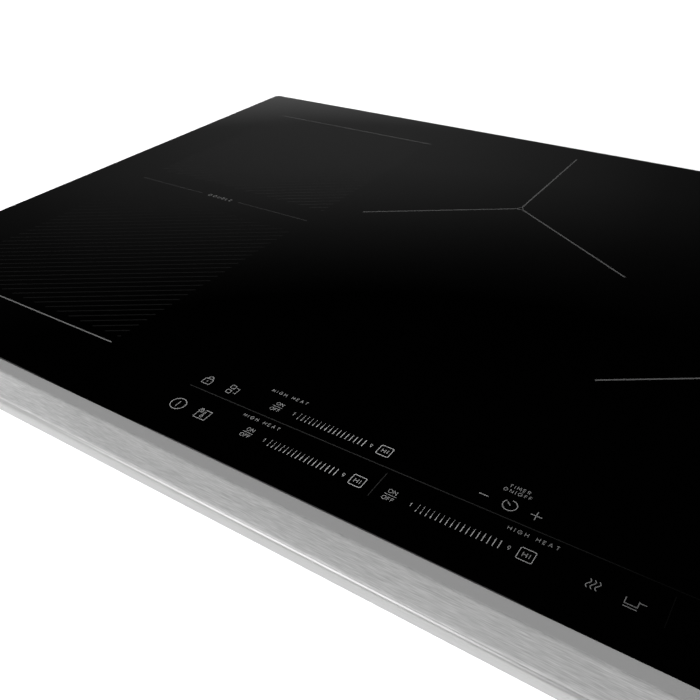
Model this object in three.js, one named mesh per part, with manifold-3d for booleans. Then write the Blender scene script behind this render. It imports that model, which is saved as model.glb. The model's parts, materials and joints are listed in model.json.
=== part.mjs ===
// A drop-in electric induction cooktop of the 36-inch class: a glass-ceramic top with a brushed
// metal trim along its front edge, over a sheet-metal burner box that hangs in a worktop cut-out.
// Millimetres, +Z up, +X to the user's right, the user stands on the -Y side.
// Origin: centre of the overall footprint, on the underside of the burner box.

import * as THREE from 'three';
import { mergeVertices } from 'three/addons/utils/BufferGeometryUtils.js';
import Module from 'manifold-3d';

const wasm = await Module();
wasm.setup();

// ---------------------------------------------------------------- driving dimensions

const GLASS_WIDTH = 921;
const GLASS_DEPTH = 516;
const GLASS_THICKNESS = 4;
const GLASS_CORNER = 5;
const GLASS_BEVEL = 0.8;

const TRIM_LAND = 8.2; // flat band, level with the glass
const TRIM_SLOPE_RUN = 15.8; // brushed face that falls towards the user
const TRIM_SLOPE_DROP = 5;
const TRIM_HEIGHT = 12; // glass top to worktop
const TRIM_WALL = 1.6;
const TRIM_BEND = 1.2;
const TRIM_CAP = 2.5;

const OVERALL_HEIGHT = 98;
const SHEET = 1.2; // burner box steel
const BOX_WIDTH = 861;
const BOX_SETBACK_FRONT = 4; // box wall behind the front edge of the glass
const BOX_SETBACK_REAR = 26;
const TOE_HEIGHT = 46; // the front wall leans back below this height
const TOE_RUN = 36;
const FLANGE_INSET = 6; // flange edge inside the glass edge
const GAP = 0.3; // between pieces that touch
const FIT = 0.6; // around pieces that slide past each other
const LAP = 1; // how far a joined or cutting solid reaches past the face it meets
const ROOT = 0.5; // how far a component is sunk into its board

const GASKET_WIDTH = 12;
const FRONT_FLANGE_RISE = 4.7; // top of the box's front flange above the worktop

const COIL_PLATE_Z = 62;
const COIL_PLATE_THICKNESS = 1.5;
const SPRING_HEIGHT = 5.9;
const CARRIER_HEIGHT = 14;
const WINDING_HEIGHT = 5;
const INSULATOR_HEIGHT = 3.8;

const FAN_SIZE = 92;
const FAN_HEIGHT = 25;
const FAN_BLADES = 7;

const SCREW_TRAVEL = 21;
const SCREW_RADIUS = 2.5;

// ---------------------------------------------------------------- derived levels and edges

const GLASS_TOP_Z = OVERALL_HEIGHT;
const GLASS_UNDER_Z = GLASS_TOP_Z - GLASS_THICKNESS;
const WORKTOP_Z = OVERALL_HEIGHT - TRIM_HEIGHT;
const OVERALL_DEPTH = GLASS_DEPTH + TRIM_LAND + TRIM_SLOPE_RUN;
const TRIM_FRONT_Y = -OVERALL_DEPTH / 2;
const GLASS_REAR_Y = OVERALL_DEPTH / 2;
const GLASS_FRONT_Y = GLASS_REAR_Y - GLASS_DEPTH;
const GLASS_EDGE_X = GLASS_WIDTH / 2;
const BOX_EDGE_X = BOX_WIDTH / 2;
const BOX_FRONT_Y = GLASS_FRONT_Y + BOX_SETBACK_FRONT;
const BOX_REAR_Y = GLASS_REAR_Y - BOX_SETBACK_REAR;
const FLANGE_TOP_Z = GLASS_UNDER_Z - GAP;
const FRONT_FLANGE_TOP_Z = WORKTOP_Z + FRONT_FLANGE_RISE;
const FLOOR_Z = SHEET + GAP; // where inner pieces stand

// Zone centres and coil radii. x is from the left edge of the glass, y from its front edge.
const ZONES = {
  left_front: { x: 143, y: 150.5, radius: 90 },
  left_rear: { x: 143, y: 356, radius: 90 },
  centre: { x: 369.6, y: 361, radius: 122 },
  right_front: { x: 605.8, y: 234.8, radius: 122 },
  right_rear: { x: 795, y: 381, radius: 76 },
};

// ---------------------------------------------------------------- materials

function material(color, roughness, metalness) {
  return new THREE.MeshStandardMaterial({ color, roughness, metalness });
}

const BLACK_GLASS = material(0x030303, 0.06, 0);
const BRUSHED_METAL = material(0xb4b4b2, 0.34, 1);
const GALVANISED = material(0x9a9d9f, 0.5, 1);
const FOAM = material(0x1c1c1c, 0.95, 0);
const ALUMINIUM = material(0xc2c4c6, 0.42, 1);
const COPPER = material(0xa65b34, 0.45, 1);
const MICA = material(0xc9bfa6, 0.7, 0);
const BLACK_PLASTIC = material(0x17181a, 0.55, 0);
const PALE_PLASTIC = material(0xd9d6cc, 0.55, 0);
const CIRCUIT_GREEN = material(0x1c5b34, 0.5, 0);
const SPRING_STEEL = material(0x7f8387, 0.35, 1);
const ZINC_STEEL = material(0xa9abad, 0.4, 1);

// ---------------------------------------------------------------- solid helpers

function signedVolume(positions, triangles) {
  const a = new THREE.Vector3();
  const b = new THREE.Vector3();
  const c = new THREE.Vector3();
  let volume = 0;
  for (let i = 0; i < triangles.length; i += 3) {
    a.fromArray(positions, 3 * triangles[i]);
    b.fromArray(positions, 3 * triangles[i + 1]);
    c.fromArray(positions, 3 * triangles[i + 2]);
    volume += a.dot(b.cross(c)) / 6;
  }
  return volume;
}

// Shared vertices, no zero-width triangles, and faces pointing out.
function closedMesh(geometry) {
  const bare = geometry.clone();
  bare.deleteAttribute('normal');
  bare.deleteAttribute('uv');
  const merged = mergeVertices(bare, 1e-4);
  const positions = merged.getAttribute('position').array;
  const triangles = [];
  for (let i = 0; i < merged.index.count; i += 3) {
    const [a, b, c] = merged.index.array.slice(i, i + 3);
    if (a !== b && b !== c && c !== a) {
      triangles.push(a, b, c);
    }
  }
  if (signedVolume(positions, triangles) < 0) {
    triangles.reverse();
  }
  return { positions, triangles };
}

function solid(geometry) {
  const { positions, triangles } = closedMesh(geometry);
  const mesh = new wasm.Mesh({
    numProp: 3,
    vertProperties: new Float32Array(positions),
    triVerts: new Uint32Array(triangles),
  });
  return new wasm.Manifold(mesh);
}

function geometryOf(body) {
  const mesh = body.getMesh();
  const geometry = new THREE.BufferGeometry();
  geometry.setAttribute('position', new THREE.BufferAttribute(mesh.vertProperties, 3));
  geometry.setIndex(new THREE.BufferAttribute(mesh.triVerts, 1));
  geometry.computeVertexNormals();
  return geometry;
}

function joined(bodies) {
  return bodies.reduce((sum, body) => sum.add(body));
}

function cut(body, tools) {
  return tools.reduce((rest, tool) => rest.subtract(tool), body);
}

// A block between two opposite corners. Its corners are set, not scaled, so that faces of
// neighbouring blocks given the same value lie in exactly the same plane.
function block(low, high) {
  const geometry = new THREE.BoxGeometry(2, 2, 2);
  const corners = geometry.getAttribute('position');
  corners.array.forEach((sign, i) => {
    corners.array[i] = sign < 0 ? low[i % 3] : high[i % 3];
  });
  return solid(geometry);
}

// A body of revolution about a vertical axis, from a closed list of [radius, height] points.
function turned(profile, segments, x = 0, y = 0) {
  const points = [...profile, profile[0]].map(([r, z]) => new THREE.Vector2(r, z));
  const geometry = new THREE.LatheGeometry(points, segments);
  geometry.rotateX(Math.PI / 2);
  geometry.translate(x, y, 0);
  return solid(geometry);
}

function disc(radius, z0, z1, segments, x = 0, y = 0) {
  return turned([[0, z0], [radius, z0], [radius, z1], [0, z1]], segments, x, y);
}

function ring(inner, outer, z0, z1, segments, x = 0, y = 0) {
  return turned([[inner, z0], [outer, z0], [outer, z1], [inner, z1]], segments, x, y);
}

// A [y, z] outline pushed along X.
function alongX(outline, x0, x1, curveSegments = 3) {
  const shape = outline instanceof THREE.Shape ? outline : shapeOf(outline);
  const geometry = new THREE.ExtrudeGeometry(shape, {
    depth: 1,
    bevelEnabled: false,
    curveSegments,
  });
  const corners = geometry.getAttribute('position');
  for (let i = 0; i < corners.count; i += 1) {
    const x = corners.getZ(i) < 0.5 ? x0 : x1;
    corners.setXYZ(i, x, corners.getX(i), corners.getY(i));
  }
  return solid(geometry);
}

function shapeOf(points) {
  return new THREE.Shape(points.map(([u, v]) => new THREE.Vector2(u, v)));
}

// A closed outline that starts at a sharp corner; a third value in a point rounds its corner.
function bentShape(points) {
  const shape = new THREE.Shape();
  shape.moveTo(points[0][0], points[0][1]);
  points.slice(1).forEach(([u, v, bend = 0], i) => {
    const corner = new THREE.Vector2(u, v);
    const before = new THREE.Vector2(...points[i]);
    const after = new THREE.Vector2(...points[(i + 2) % points.length]);
    const start = before.sub(corner).setLength(bend).add(corner);
    const end = after.sub(corner).setLength(bend).add(corner);
    shape.lineTo(start.x, start.y);
    if (bend > 0) {
      shape.quadraticCurveTo(u, v, end.x, end.y);
    }
  });
  return shape;
}

// The outline moved inwards by a distance; its points run anticlockwise.
function insetOutline(points, distance) {
  const edges = points.map(([u, v], i) => {
    const [nextU, nextV] = points[(i + 1) % points.length];
    const a = new THREE.Vector2(u, v);
    const b = new THREE.Vector2(nextU, nextV);
    const along = b.sub(a).normalize();
    const inward = new THREE.Vector2(-along.y, along.x);
    return { from: a.addScaledVector(inward, distance), along };
  });
  return edges.map((edge, i) => {
    const last = edges[(i + edges.length - 1) % edges.length];
    const between = edge.from.clone().sub(last.from);
    const t = between.cross(edge.along) / last.along.cross(edge.along);
    return [last.from.x + last.along.x * t, last.from.y + last.along.y * t];
  });
}

// ---------------------------------------------------------------- scene graph

const cooktop = new THREE.Group();

function add(name, body, finish, x = 0, y = 0, z = 0) {
  const mesh = new THREE.Mesh(geometryOf(body), finish);
  mesh.name = name;
  mesh.position.set(x, y, z);
  cooktop.add(mesh);
}

// ---------------------------------------------------------------- glass top and front trim

function glassTop() {
  const halfWidth = GLASS_WIDTH / 2 - GLASS_BEVEL;
  const front = GLASS_FRONT_Y + GLASS_BEVEL;
  const rear = GLASS_REAR_Y - GLASS_BEVEL;
  const shape = new THREE.Shape();
  shape.moveTo(-halfWidth, front);
  shape.lineTo(halfWidth, front);
  shape.lineTo(halfWidth, rear - GLASS_CORNER);
  shape.absarc(halfWidth - GLASS_CORNER, rear - GLASS_CORNER, GLASS_CORNER, 0, Math.PI / 2);
  shape.absarc(-halfWidth + GLASS_CORNER, rear - GLASS_CORNER, GLASS_CORNER, Math.PI / 2, Math.PI);
  const geometry = new THREE.ExtrudeGeometry(shape, {
    depth: GLASS_THICKNESS - 2 * GLASS_BEVEL,
    bevelThickness: GLASS_BEVEL,
    bevelSize: GLASS_BEVEL,
    bevelSegments: 1,
    curveSegments: 5,
  });
  geometry.translate(0, 0, GLASS_UNDER_Z + GLASS_BEVEL);
  return solid(geometry);
}

const trimBackY = GLASS_FRONT_Y - GAP;
const trimWebZ = FRONT_FLANGE_TOP_Z + GAP;

// The trim's closed section in Y, Z and bend, anticlockwise; its lip hangs below it.
const TRIM_OUTLINE = [
  [trimBackY, trimWebZ],
  [trimBackY, GLASS_TOP_Z],
  [GLASS_FRONT_Y - TRIM_LAND, GLASS_TOP_Z, TRIM_BEND],
  [TRIM_FRONT_Y, GLASS_TOP_Z - TRIM_SLOPE_DROP, TRIM_BEND],
  [TRIM_FRONT_Y, trimWebZ],
];

// The hollow inside the trim tapers to a point where its sloping face would meet its web.
function trimHollow(wall) {
  const heightOverWeb = GLASS_TOP_Z - TRIM_SLOPE_DROP - trimWebZ;
  const footY = TRIM_FRONT_Y - (heightOverWeb * TRIM_SLOPE_RUN) / TRIM_SLOPE_DROP;
  return insetOutline([...TRIM_OUTLINE.slice(0, 3), [footY, trimWebZ]], wall);
}

function frontTrim() {
  const end = GLASS_EDGE_X - TRIM_CAP - GAP;
  const shape = bentShape(TRIM_OUTLINE);
  shape.holes.push(shapeOf(trimHollow(TRIM_WALL)));
  const lip = block(
    [-end, TRIM_FRONT_Y, WORKTOP_Z],
    [end, TRIM_FRONT_Y + TRIM_WALL, trimWebZ + GAP],
  );
  const seat = block(
    [-end, trimBackY - TRIM_WALL, trimWebZ],
    [end, BOX_FRONT_Y - 2 * GAP, FLANGE_TOP_Z],
  );
  return joined([alongX(shape, -end, end), lip, seat]);
}

function trimEndCap(side) {
  const inner = GLASS_EDGE_X - TRIM_CAP;
  const spigotLength = 10;
  const plate = alongX([
    [trimBackY, trimWebZ],
    [trimBackY, GLASS_TOP_Z],
    [GLASS_FRONT_Y - TRIM_LAND, GLASS_TOP_Z],
    [TRIM_FRONT_Y, GLASS_TOP_Z - TRIM_SLOPE_DROP],
    [TRIM_FRONT_Y, WORKTOP_Z],
    [TRIM_FRONT_Y + TRIM_WALL, WORKTOP_Z],
    [TRIM_FRONT_Y + TRIM_WALL, trimWebZ],
  ], inner, GLASS_EDGE_X);
  const spigot = alongX(trimHollow(TRIM_WALL + GAP), inner - spigotLength, inner + LAP);
  const cap = plate.add(spigot);
  return side < 0 ? cap.mirror([1, 0, 0]) : cap;
}

// ---------------------------------------------------------------- burner box

const RECESS = { x0: 300, x1: 400, y0: BOX_REAR_Y - 60, height: 60 }; // for the supply conduit
const CONDUIT = { x: 350, z: 30, tailRadius: 11, boreRadius: 9 };
const FANS = { left: { x: -230, y: 150 }, right: { x: 40, y: 150 } };
const SLOT_WIDTH = 4;

// The box in side view, anticlockwise, raised to the given height.
function boxOutline(top) {
  return [
    [BOX_FRONT_Y, TOE_HEIGHT],
    [BOX_FRONT_Y + TOE_RUN, 0],
    [BOX_REAR_Y, 0],
    [BOX_REAR_Y, top],
    [BOX_FRONT_Y, top],
  ];
}

function recessBlock(margin) {
  return block(
    [RECESS.x0 - margin, RECESS.y0 - margin, -LAP],
    [RECESS.x1 + margin, BOX_REAR_Y + LAP, RECESS.height + margin],
  );
}

// Flange and down-turned hem under the sides and rear of the glass, and a low front flange.
// Each piece ends inside the thickness of the sheet that it joins.
function boxFlanges() {
  const edgeX = GLASS_EDGE_X - FLANGE_INSET;
  const edgeY = GLASS_REAR_Y - FLANGE_INSET;
  const hemZ = WORKTOP_Z + 1.5; // the hem stops short of the worktop
  const frontFlangeY = TRIM_FRONT_Y + 4; // inside the trim's lip
  const frontY = BOX_FRONT_Y + SHEET / 2;
  const cap = block([-edgeX, frontY, hemZ], [edgeX, edgeY, FLANGE_TOP_Z]);
  const underCap = block(
    [-edgeX + SHEET, frontY - LAP, hemZ - LAP],
    [edgeX - SHEET, edgeY - SHEET, FLANGE_TOP_Z - SHEET],
  );
  const frontFlange = block(
    [-edgeX + SHEET / 2, frontFlangeY, FRONT_FLANGE_TOP_Z - SHEET],
    [edgeX - SHEET / 2, BOX_FRONT_Y + SHEET * 0.75, FRONT_FLANGE_TOP_Z],
  );
  return [cap.subtract(underCap), frontFlange];
}

// Parallel slots that fill a circle under each fan.
function fanInletSlots({ x, y }) {
  const radius = 40;
  const pitch = 2 * SLOT_WIDTH;
  const slotsEachSide = 4;
  const slots = [];
  for (let i = -slotsEachSide; i <= slotsEachSide; i += 1) {
    const offset = i * pitch;
    const half = Math.sqrt(radius * radius - offset * offset);
    slots.push(block(
      [x - half, y + offset - SLOT_WIDTH / 2, -LAP],
      [x + half, y + offset + SLOT_WIDTH / 2, SHEET + LAP],
    ));
  }
  return slots;
}

// Warm air leaves through two rows of slots in the leaning front wall and a row in the rear wall.
function exhaustSlots() {
  const half = 15;
  const pitch = 46;
  const slotsEachSide = 8;
  const rearRowZ = 76;
  // Each front row: how far behind the box front it is cut, and between which heights.
  const frontRows = [
    { setback: 7, z0: 8, z1: 60 },
    { setback: 19, z0: 4, z1: 50 },
  ];
  const width = SLOT_WIDTH + LAP;
  const slots = [];
  for (let i = -slotsEachSide; i <= slotsEachSide; i += 1) {
    const x = i * pitch;
    for (const { setback, z0, z1 } of frontRows) {
      const y = BOX_FRONT_Y + setback;
      slots.push(block([x - half, y, z0], [x + half, y + width, z1]));
    }
    slots.push(block(
      [x - half, BOX_REAR_Y - 2 * SHEET, rearRowZ],
      [x + half, BOX_REAR_Y + LAP, rearRowZ + SLOT_WIDTH],
    ));
  }
  return slots;
}

// Points a body's vertical axis along +Y from the recess wall.
function atRecessWall(body) {
  return body.rotate([-90, 0, 0]).translate([CONDUIT.x, RECESS.y0, CONDUIT.z]);
}

function burnerBox() {
  const wallTop = FLANGE_TOP_Z - SHEET / 2;
  const outer = alongX(boxOutline(wallTop), -BOX_EDGE_X, BOX_EDGE_X).subtract(recessBlock(0));
  const hollow = alongX(
    insetOutline(boxOutline(FLANGE_TOP_Z + 2 * SHEET), SHEET),
    -BOX_EDGE_X + SHEET,
    BOX_EDGE_X - SHEET,
  ).subtract(recessBlock(SHEET));
  const conduitHole = disc(CONDUIT.tailRadius + FIT, -2 * SHEET, 2 * SHEET, 24);
  const shell = joined([outer, ...boxFlanges()]);
  return cut(shell, [
    hollow,
    atRecessWall(conduitHole),
    ...fanInletSlots(FANS.left),
    ...fanInletSlots(FANS.right),
    ...exhaustSlots(),
  ]);
}

// ---------------------------------------------------------------- worktop gaskets

function addGaskets() {
  const hemX = GLASS_EDGE_X - FLANGE_INSET - SHEET - GAP;
  const hemY = GLASS_REAR_Y - FLANGE_INSET - SHEET - GAP;
  const top = FLANGE_TOP_Z - SHEET - GAP;
  const frontTop = FRONT_FLANGE_TOP_Z - SHEET - GAP;
  const frontY = TRIM_FRONT_Y + 5; // under the front flange
  const sideFront = BOX_FRONT_Y + 2;
  const sideRear = hemY - GASKET_WIDTH - GAP;
  add('gasket_front', block(
    [-hemX, frontY, WORKTOP_Z],
    [hemX, frontY + GASKET_WIDTH, frontTop],
  ), FOAM);
  add('gasket_rear', block([-hemX, hemY - GASKET_WIDTH, WORKTOP_Z], [hemX, hemY, top]), FOAM);
  add('gasket_left', block(
    [-hemX, sideFront, WORKTOP_Z],
    [-hemX + GASKET_WIDTH, sideRear, top],
  ), FOAM);
  add('gasket_right', block(
    [hemX - GASKET_WIDTH, sideFront, WORKTOP_Z],
    [hemX, sideRear, top],
  ), FOAM);
}

// ---------------------------------------------------------------- coils

// A flat table that stands on the box floor on its two folded sides.
function coilPlate() {
  const sideMargin = 10; // clear of the box walls
  const rearMargin = 6;
  const halfWidth = BOX_EDGE_X - sideMargin;
  const front = BOX_FRONT_Y + TOE_RUN + rearMargin;
  const rear = RECESS.y0 - 4;
  const rearBeside = BOX_REAR_Y - rearMargin;
  const top = COIL_PLATE_Z + COIL_PLATE_THICKNESS;
  const deck = block([-halfWidth, front, COIL_PLATE_Z], [halfWidth, rear, top]);
  const rearDeck = block(
    [-halfWidth, rear - LAP, COIL_PLATE_Z],
    [RECESS.x0 - rearMargin, rearBeside, top],
  );
  const legs = [-1, 1].map((side) => {
    const x = side * (halfWidth - COIL_PLATE_THICKNESS / 2);
    const half = COIL_PLATE_THICKNESS / 2;
    return block([x - half, front, FLOOR_Z], [x + half, rear, top]);
  });
  // A hole for each coil's leads, under the winding and beside the spring.
  const wireHoles = Object.values(ZONES).map((zone) => disc(
    14,
    COIL_PLATE_Z - LAP,
    top + LAP,
    16,
    zoneX(zone) + zone.radius * 0.62,
    zoneY(zone) - zone.radius * 0.35,
  ));
  return cut(joined([deck, rearDeck, ...legs]), wireHoles);
}

function zoneX(zone) {
  return zone.x - GLASS_EDGE_X;
}

function zoneY(zone) {
  return zone.y + GLASS_FRONT_Y;
}

const COIL_SEGMENTS = 28;
const COIL_HOLE = 10; // opening in the middle of a coil
const HUB_WALL = 10;
const WINDING_START = COIL_HOLE + 12;
const springZ = COIL_PLATE_Z + COIL_PLATE_THICKNESS + GAP;
const carrierZ = springZ + SPRING_HEIGHT + GAP;
const windingZ = carrierZ + CARRIER_HEIGHT + GAP;
const insulatorZ = windingZ + WINDING_HEIGHT + GAP;

// A ring with a hub and six arms, whose arms hold the ferrite bars.
function coilCarrier(radius) {
  const rim = 4;
  const armCount = 6;
  const armWidth = 14;
  const recess = 3; // between the top of an arm and the winding
  const parts = [
    ring(radius - rim, radius, 0, CARRIER_HEIGHT, COIL_SEGMENTS),
    ring(COIL_HOLE, COIL_HOLE + HUB_WALL, 0, CARRIER_HEIGHT, COIL_SEGMENTS),
  ];
  for (let i = 0; i < armCount / 2; i += 1) {
    const reach = radius - rim / 2;
    const arm = block([-reach, -armWidth / 2, 0], [reach, armWidth / 2, CARRIER_HEIGHT - recess]);
    parts.push(arm.rotate([0, 0, (i + 0.5) * (360 / armCount)]));
  }
  return joined(parts).subtract(disc(COIL_HOLE, -LAP, CARRIER_HEIGHT + LAP, COIL_SEGMENTS));
}

function winding(radius) {
  const edge = 5; // inside the carrier's rim
  return ring(WINDING_START, radius - edge, 0, WINDING_HEIGHT, COIL_SEGMENTS);
}

function insulator(radius) {
  return ring(COIL_HOLE, radius, 0, INSULATOR_HEIGHT, COIL_SEGMENTS);
}

// A flanged capsule that stands in the middle of the coil and meets the glass.
function sensor() {
  const top = insulatorZ - carrierZ + INSULATOR_HEIGHT;
  const flangeRadius = 8;
  const flangeUnder = 2;
  const flangeTop = 5;
  const bodyRadius = 5;
  return turned([
    [0, flangeUnder],
    [flangeRadius, flangeUnder],
    [flangeRadius, flangeTop],
    [bodyRadius, flangeTop],
    [bodyRadius, top],
    [0, top],
  ], 14);
}

// A leaf spring: a shallow arch that carries the middle of a coil.
function leafSpring() {
  const half = 34;
  const thickness = 0.9;
  const width = 18;
  const steps = 8;
  const rise = SPRING_HEIGHT - thickness;
  const arch = (x) => rise * Math.cos((Math.PI / 2) * (x / half)) ** 2;
  const xs = Array.from({ length: steps + 1 }, (_, i) => -half + (2 * half * i) / steps);
  const lower = xs.map((x) => [x, arch(x)]);
  const upper = xs.map((x) => [x, arch(x) + thickness]).reverse();
  return alongX([...lower, ...upper], -width / 2, width / 2);
}

function addCoils() {
  for (const [name, zone] of Object.entries(ZONES)) {
    const x = zoneX(zone);
    const y = zoneY(zone);
    add(`coil_spring_${name}`, leafSpring(), SPRING_STEEL, x, y, springZ);
    add(`coil_carrier_${name}`, coilCarrier(zone.radius), BLACK_PLASTIC, x, y, carrierZ);
    add(`coil_winding_${name}`, winding(zone.radius), COPPER, x, y, windingZ);
    add(`coil_insulator_${name}`, insulator(zone.radius), MICA, x, y, insulatorZ);
    add(`coil_sensor_${name}`, sensor(), PALE_PLASTIC, x, y, carrierZ);
  }
}

// ---------------------------------------------------------------- power electronics

const BOARD_Z = 12;
const BOARD_THICKNESS = 1.6;
const BOARD_TOP_Z = BOARD_Z + BOARD_THICKNESS;
const INVERTER = { halfWidth: 160, y0: -175, y1: 70 };
const INVERTER_X = { left: -225, right: 150 };
const FILTER = { x0: 120, x1: 270, y0: 92, y1: 222 };

// One tray under all the boards, with a post under each board corner.
function boardTray() {
  const margin = 4;
  const plateTop = FLOOR_Z + 2;
  const postRadius = 4;
  const postInset = 6;
  const posts = [];
  const plates = [];
  const outlines = [
    ...Object.values(INVERTER_X).map((x) => [
      x - INVERTER.halfWidth, INVERTER.y0, x + INVERTER.halfWidth, INVERTER.y1,
    ]),
    [FILTER.x0, FILTER.y0, FILTER.x1, FILTER.y1],
  ];
  for (const [x0, y0, x1, y1] of outlines) {
    plates.push(block([x0 - margin, y0 - margin, FLOOR_Z], [x1 + margin, y1 + margin, plateTop]));
    for (const x of [x0 + postInset, x1 - postInset]) {
      for (const y of [y0 + postInset, y1 - postInset]) {
        posts.push(disc(postRadius, FLOOR_Z + LAP, BOARD_Z - GAP, 6, x, y));
      }
    }
  }
  const links = [
    block([INVERTER_X.left, -20, FLOOR_Z], [INVERTER_X.right, 0, plateTop]),
    block([FILTER.x0 + 20, INVERTER.y1, FLOOR_Z], [FILTER.x0 + 60, FILTER.y0, plateTop]),
  ];
  return joined([...plates, ...links, ...posts]);
}

// Components stand on a board, each rooted in its thickness.
function can(radius, height, x, y) {
  return disc(radius, BOARD_Z + ROOT, BOARD_TOP_Z + height, 14, x, y);
}

function choke(x, y) {
  return ring(9, 21, BOARD_Z + ROOT, BOARD_TOP_Z + 22, 24, x, y);
}

function box([x0, y0], [x1, y1], height) {
  return block([x0, y0, BOARD_Z + ROOT], [x1, y1, BOARD_TOP_Z + height]);
}

// A power board with its capacitors, chokes and a row of output tabs.
function inverterBoard(centreX) {
  const { halfWidth, y0, y1 } = INVERTER;
  const canRadius = 13;
  const canHeight = 32;
  const parts = [block([centreX - halfWidth, y0, BOARD_Z], [centreX + halfWidth, y1, BOARD_TOP_Z])];
  for (const side of [-1, 1]) {
    for (const offset of [96, 130]) {
      parts.push(can(canRadius, canHeight, centreX + side * offset, y0 + 26));
    }
    const filmX = centreX + side * 50;
    const relayX = centreX + side * 135;
    parts.push(box([filmX - 16, y0 + 12], [filmX + 16, y0 + 34], 24));
    parts.push(box([relayX - 14, y1 - 40], [relayX + 14, y1 - 12], 20));
  }
  const tabsEachSide = 3;
  const tabPitch = 14;
  for (let i = -tabsEachSide; i <= tabsEachSide; i += 1) {
    const x = centreX + i * tabPitch;
    parts.push(box([x - 3, y1 - 16], [x + 3, y1 - 14.5], 12));
  }
  return joined(parts);
}

// An extruded heat sink whose fins run front to back, in line with the fan's air.
function heatSink(centreX) {
  const halfWidth = 105;
  const y0 = -120;
  const y1 = 20;
  const base = 6;
  const fins = 15;
  const finHalf = 1;
  const height = 34;
  const z0 = BOARD_TOP_Z + GAP;
  const parts = [block([centreX - halfWidth, y0, z0], [centreX + halfWidth, y1, z0 + base])];
  for (let i = 0; i < fins; i += 1) {
    const x = centreX + (halfWidth - finHalf) * ((2 * i) / (fins - 1) - 1);
    parts.push(block([x - finHalf, y0, z0 + LAP], [x + finHalf, y1, z0 + height]));
  }
  return joined(parts);
}

function filterBoard() {
  const { x0, x1, y0, y1 } = FILTER;
  return joined([
    block([x0, y0, BOARD_Z], [x1, y1, BOARD_TOP_Z]),
    choke(x0 + 34, y0 + 40),
    choke(x0 + 34, y0 + 92),
    box([x0 + 66, y0 + 16], [x0 + 80, y0 + 56], 26),
    box([x0 + 66, y0 + 72], [x0 + 80, y0 + 112], 26),
    box([x0 + 100, y0 + 20], [x0 + 138, y0 + 44], 16),
    can(9, 20, x0 + 112, y0 + 78),
    can(9, 20, x0 + 112, y0 + 104),
  ]);
}

// ---------------------------------------------------------------- fans

const FAN_HOLE = 43.5;
const FAN_HUB = 17;
const FAN_STRUT = 3; // height of the struts and the motor mount
const FAN_TIP_GAP = 3.5;

function fanHousing() {
  const half = FAN_SIZE / 2;
  const screwHole = { radius: 2.2, reach: half - 5 };
  const frame = block([-half, -half, 0], [half, half, FAN_HEIGHT]);
  const holes = [disc(FAN_HOLE, -LAP, FAN_HEIGHT + LAP, 32)];
  for (const x of [-screwHole.reach, screwHole.reach]) {
    for (const y of [-screwHole.reach, screwHole.reach]) {
      holes.push(disc(screwHole.radius, -LAP, FAN_HEIGHT + LAP, 6, x, y));
    }
  }
  const strut = block([-half + LAP, -2, 0], [half - LAP, 2, FAN_STRUT]);
  const struts = [45, 135].map((turn) => strut.rotate([0, 0, turn]));
  const reach = disc(FAN_HOLE + LAP, -LAP, FAN_STRUT + LAP, 32);
  const mount = disc(FAN_HUB, 0, FAN_STRUT, 24);
  return joined([cut(frame, holes), joined(struts).intersect(reach), mount]);
}

// Hub with raked blades; it turns about its own axis.
function fanImpeller() {
  const low = FAN_STRUT + 2;
  const high = FAN_HEIGHT - 2;
  const tip = FAN_HOLE - FAN_TIP_GAP;
  const pitchAngle = 38;
  const chord = 22;
  const half = 0.8; // half the thickness of a blade
  const parts = [disc(FAN_HUB, low, high, 24)];
  for (let i = 0; i < FAN_BLADES; i += 1) {
    const blade = block([FAN_HUB - 2 * LAP, -chord / 2, -half], [tip, chord / 2, half]);
    const raked = blade.rotate([pitchAngle, 0, 0]).translate([0, 0, (low + high) / 2]);
    parts.push(raked.rotate([0, 0, (i * 360) / FAN_BLADES]));
  }
  return joined(parts);
}

function addFans() {
  for (const [side, { x, y }] of Object.entries(FANS)) {
    add(`fan_housing_${side}`, fanHousing(), BLACK_PLASTIC, x, y, FLOOR_Z);
    add(`fan_impeller_${side}`, fanImpeller(), BLACK_PLASTIC, x, y, FLOOR_Z);
  }
}

// ---------------------------------------------------------------- touch controls

const TOUCH = { x0: -165, x1: 196, y0: GLASS_FRONT_Y + 14, y1: GLASS_FRONT_Y + 68 };

function touchBoard() {
  const { x0, x1, y0, y1 } = TOUCH;
  const top = GLASS_UNDER_Z - GAP;
  const under = top - BOARD_THICKNESS;
  const chips = { count: 6, first: x0 + 30, pitch: 58, size: 12, height: 2 };
  const parts = [block([x0, y0, under], [x1, y1, top])];
  for (let i = 0; i < chips.count; i += 1) {
    const x = chips.first + i * chips.pitch;
    const y = y0 + 20;
    parts.push(block([x, y, under - chips.height], [x + chips.size, y + chips.size, under + ROOT]));
  }
  return joined(parts);
}

// A shallow plastic tray under the touch board, held by two arms on the front wall of the box.
function touchHolder() {
  const { x0, x1, y0, y1 } = TOUCH;
  const wall = 2;
  const depth = 7;
  const armWidth = 24;
  const top = GLASS_UNDER_Z - 2 * GAP - BOARD_THICKNESS;
  const under = top - depth;
  const tray = block([x0 - wall, y0 - wall, under], [x1 + wall, y1 + wall, top]);
  const inside = block([x0 + wall, y0 + wall, under + wall], [x1 - wall, y1 - wall, top + LAP]);
  const arms = [x0 + 60, x1 - 84].map((x) => block(
    [x, BOX_FRONT_Y + SHEET + GAP, under],
    [x + armWidth, y0, under + wall],
  ));
  return joined([tray.subtract(inside), ...arms]);
}

// ---------------------------------------------------------------- supply connection

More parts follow.
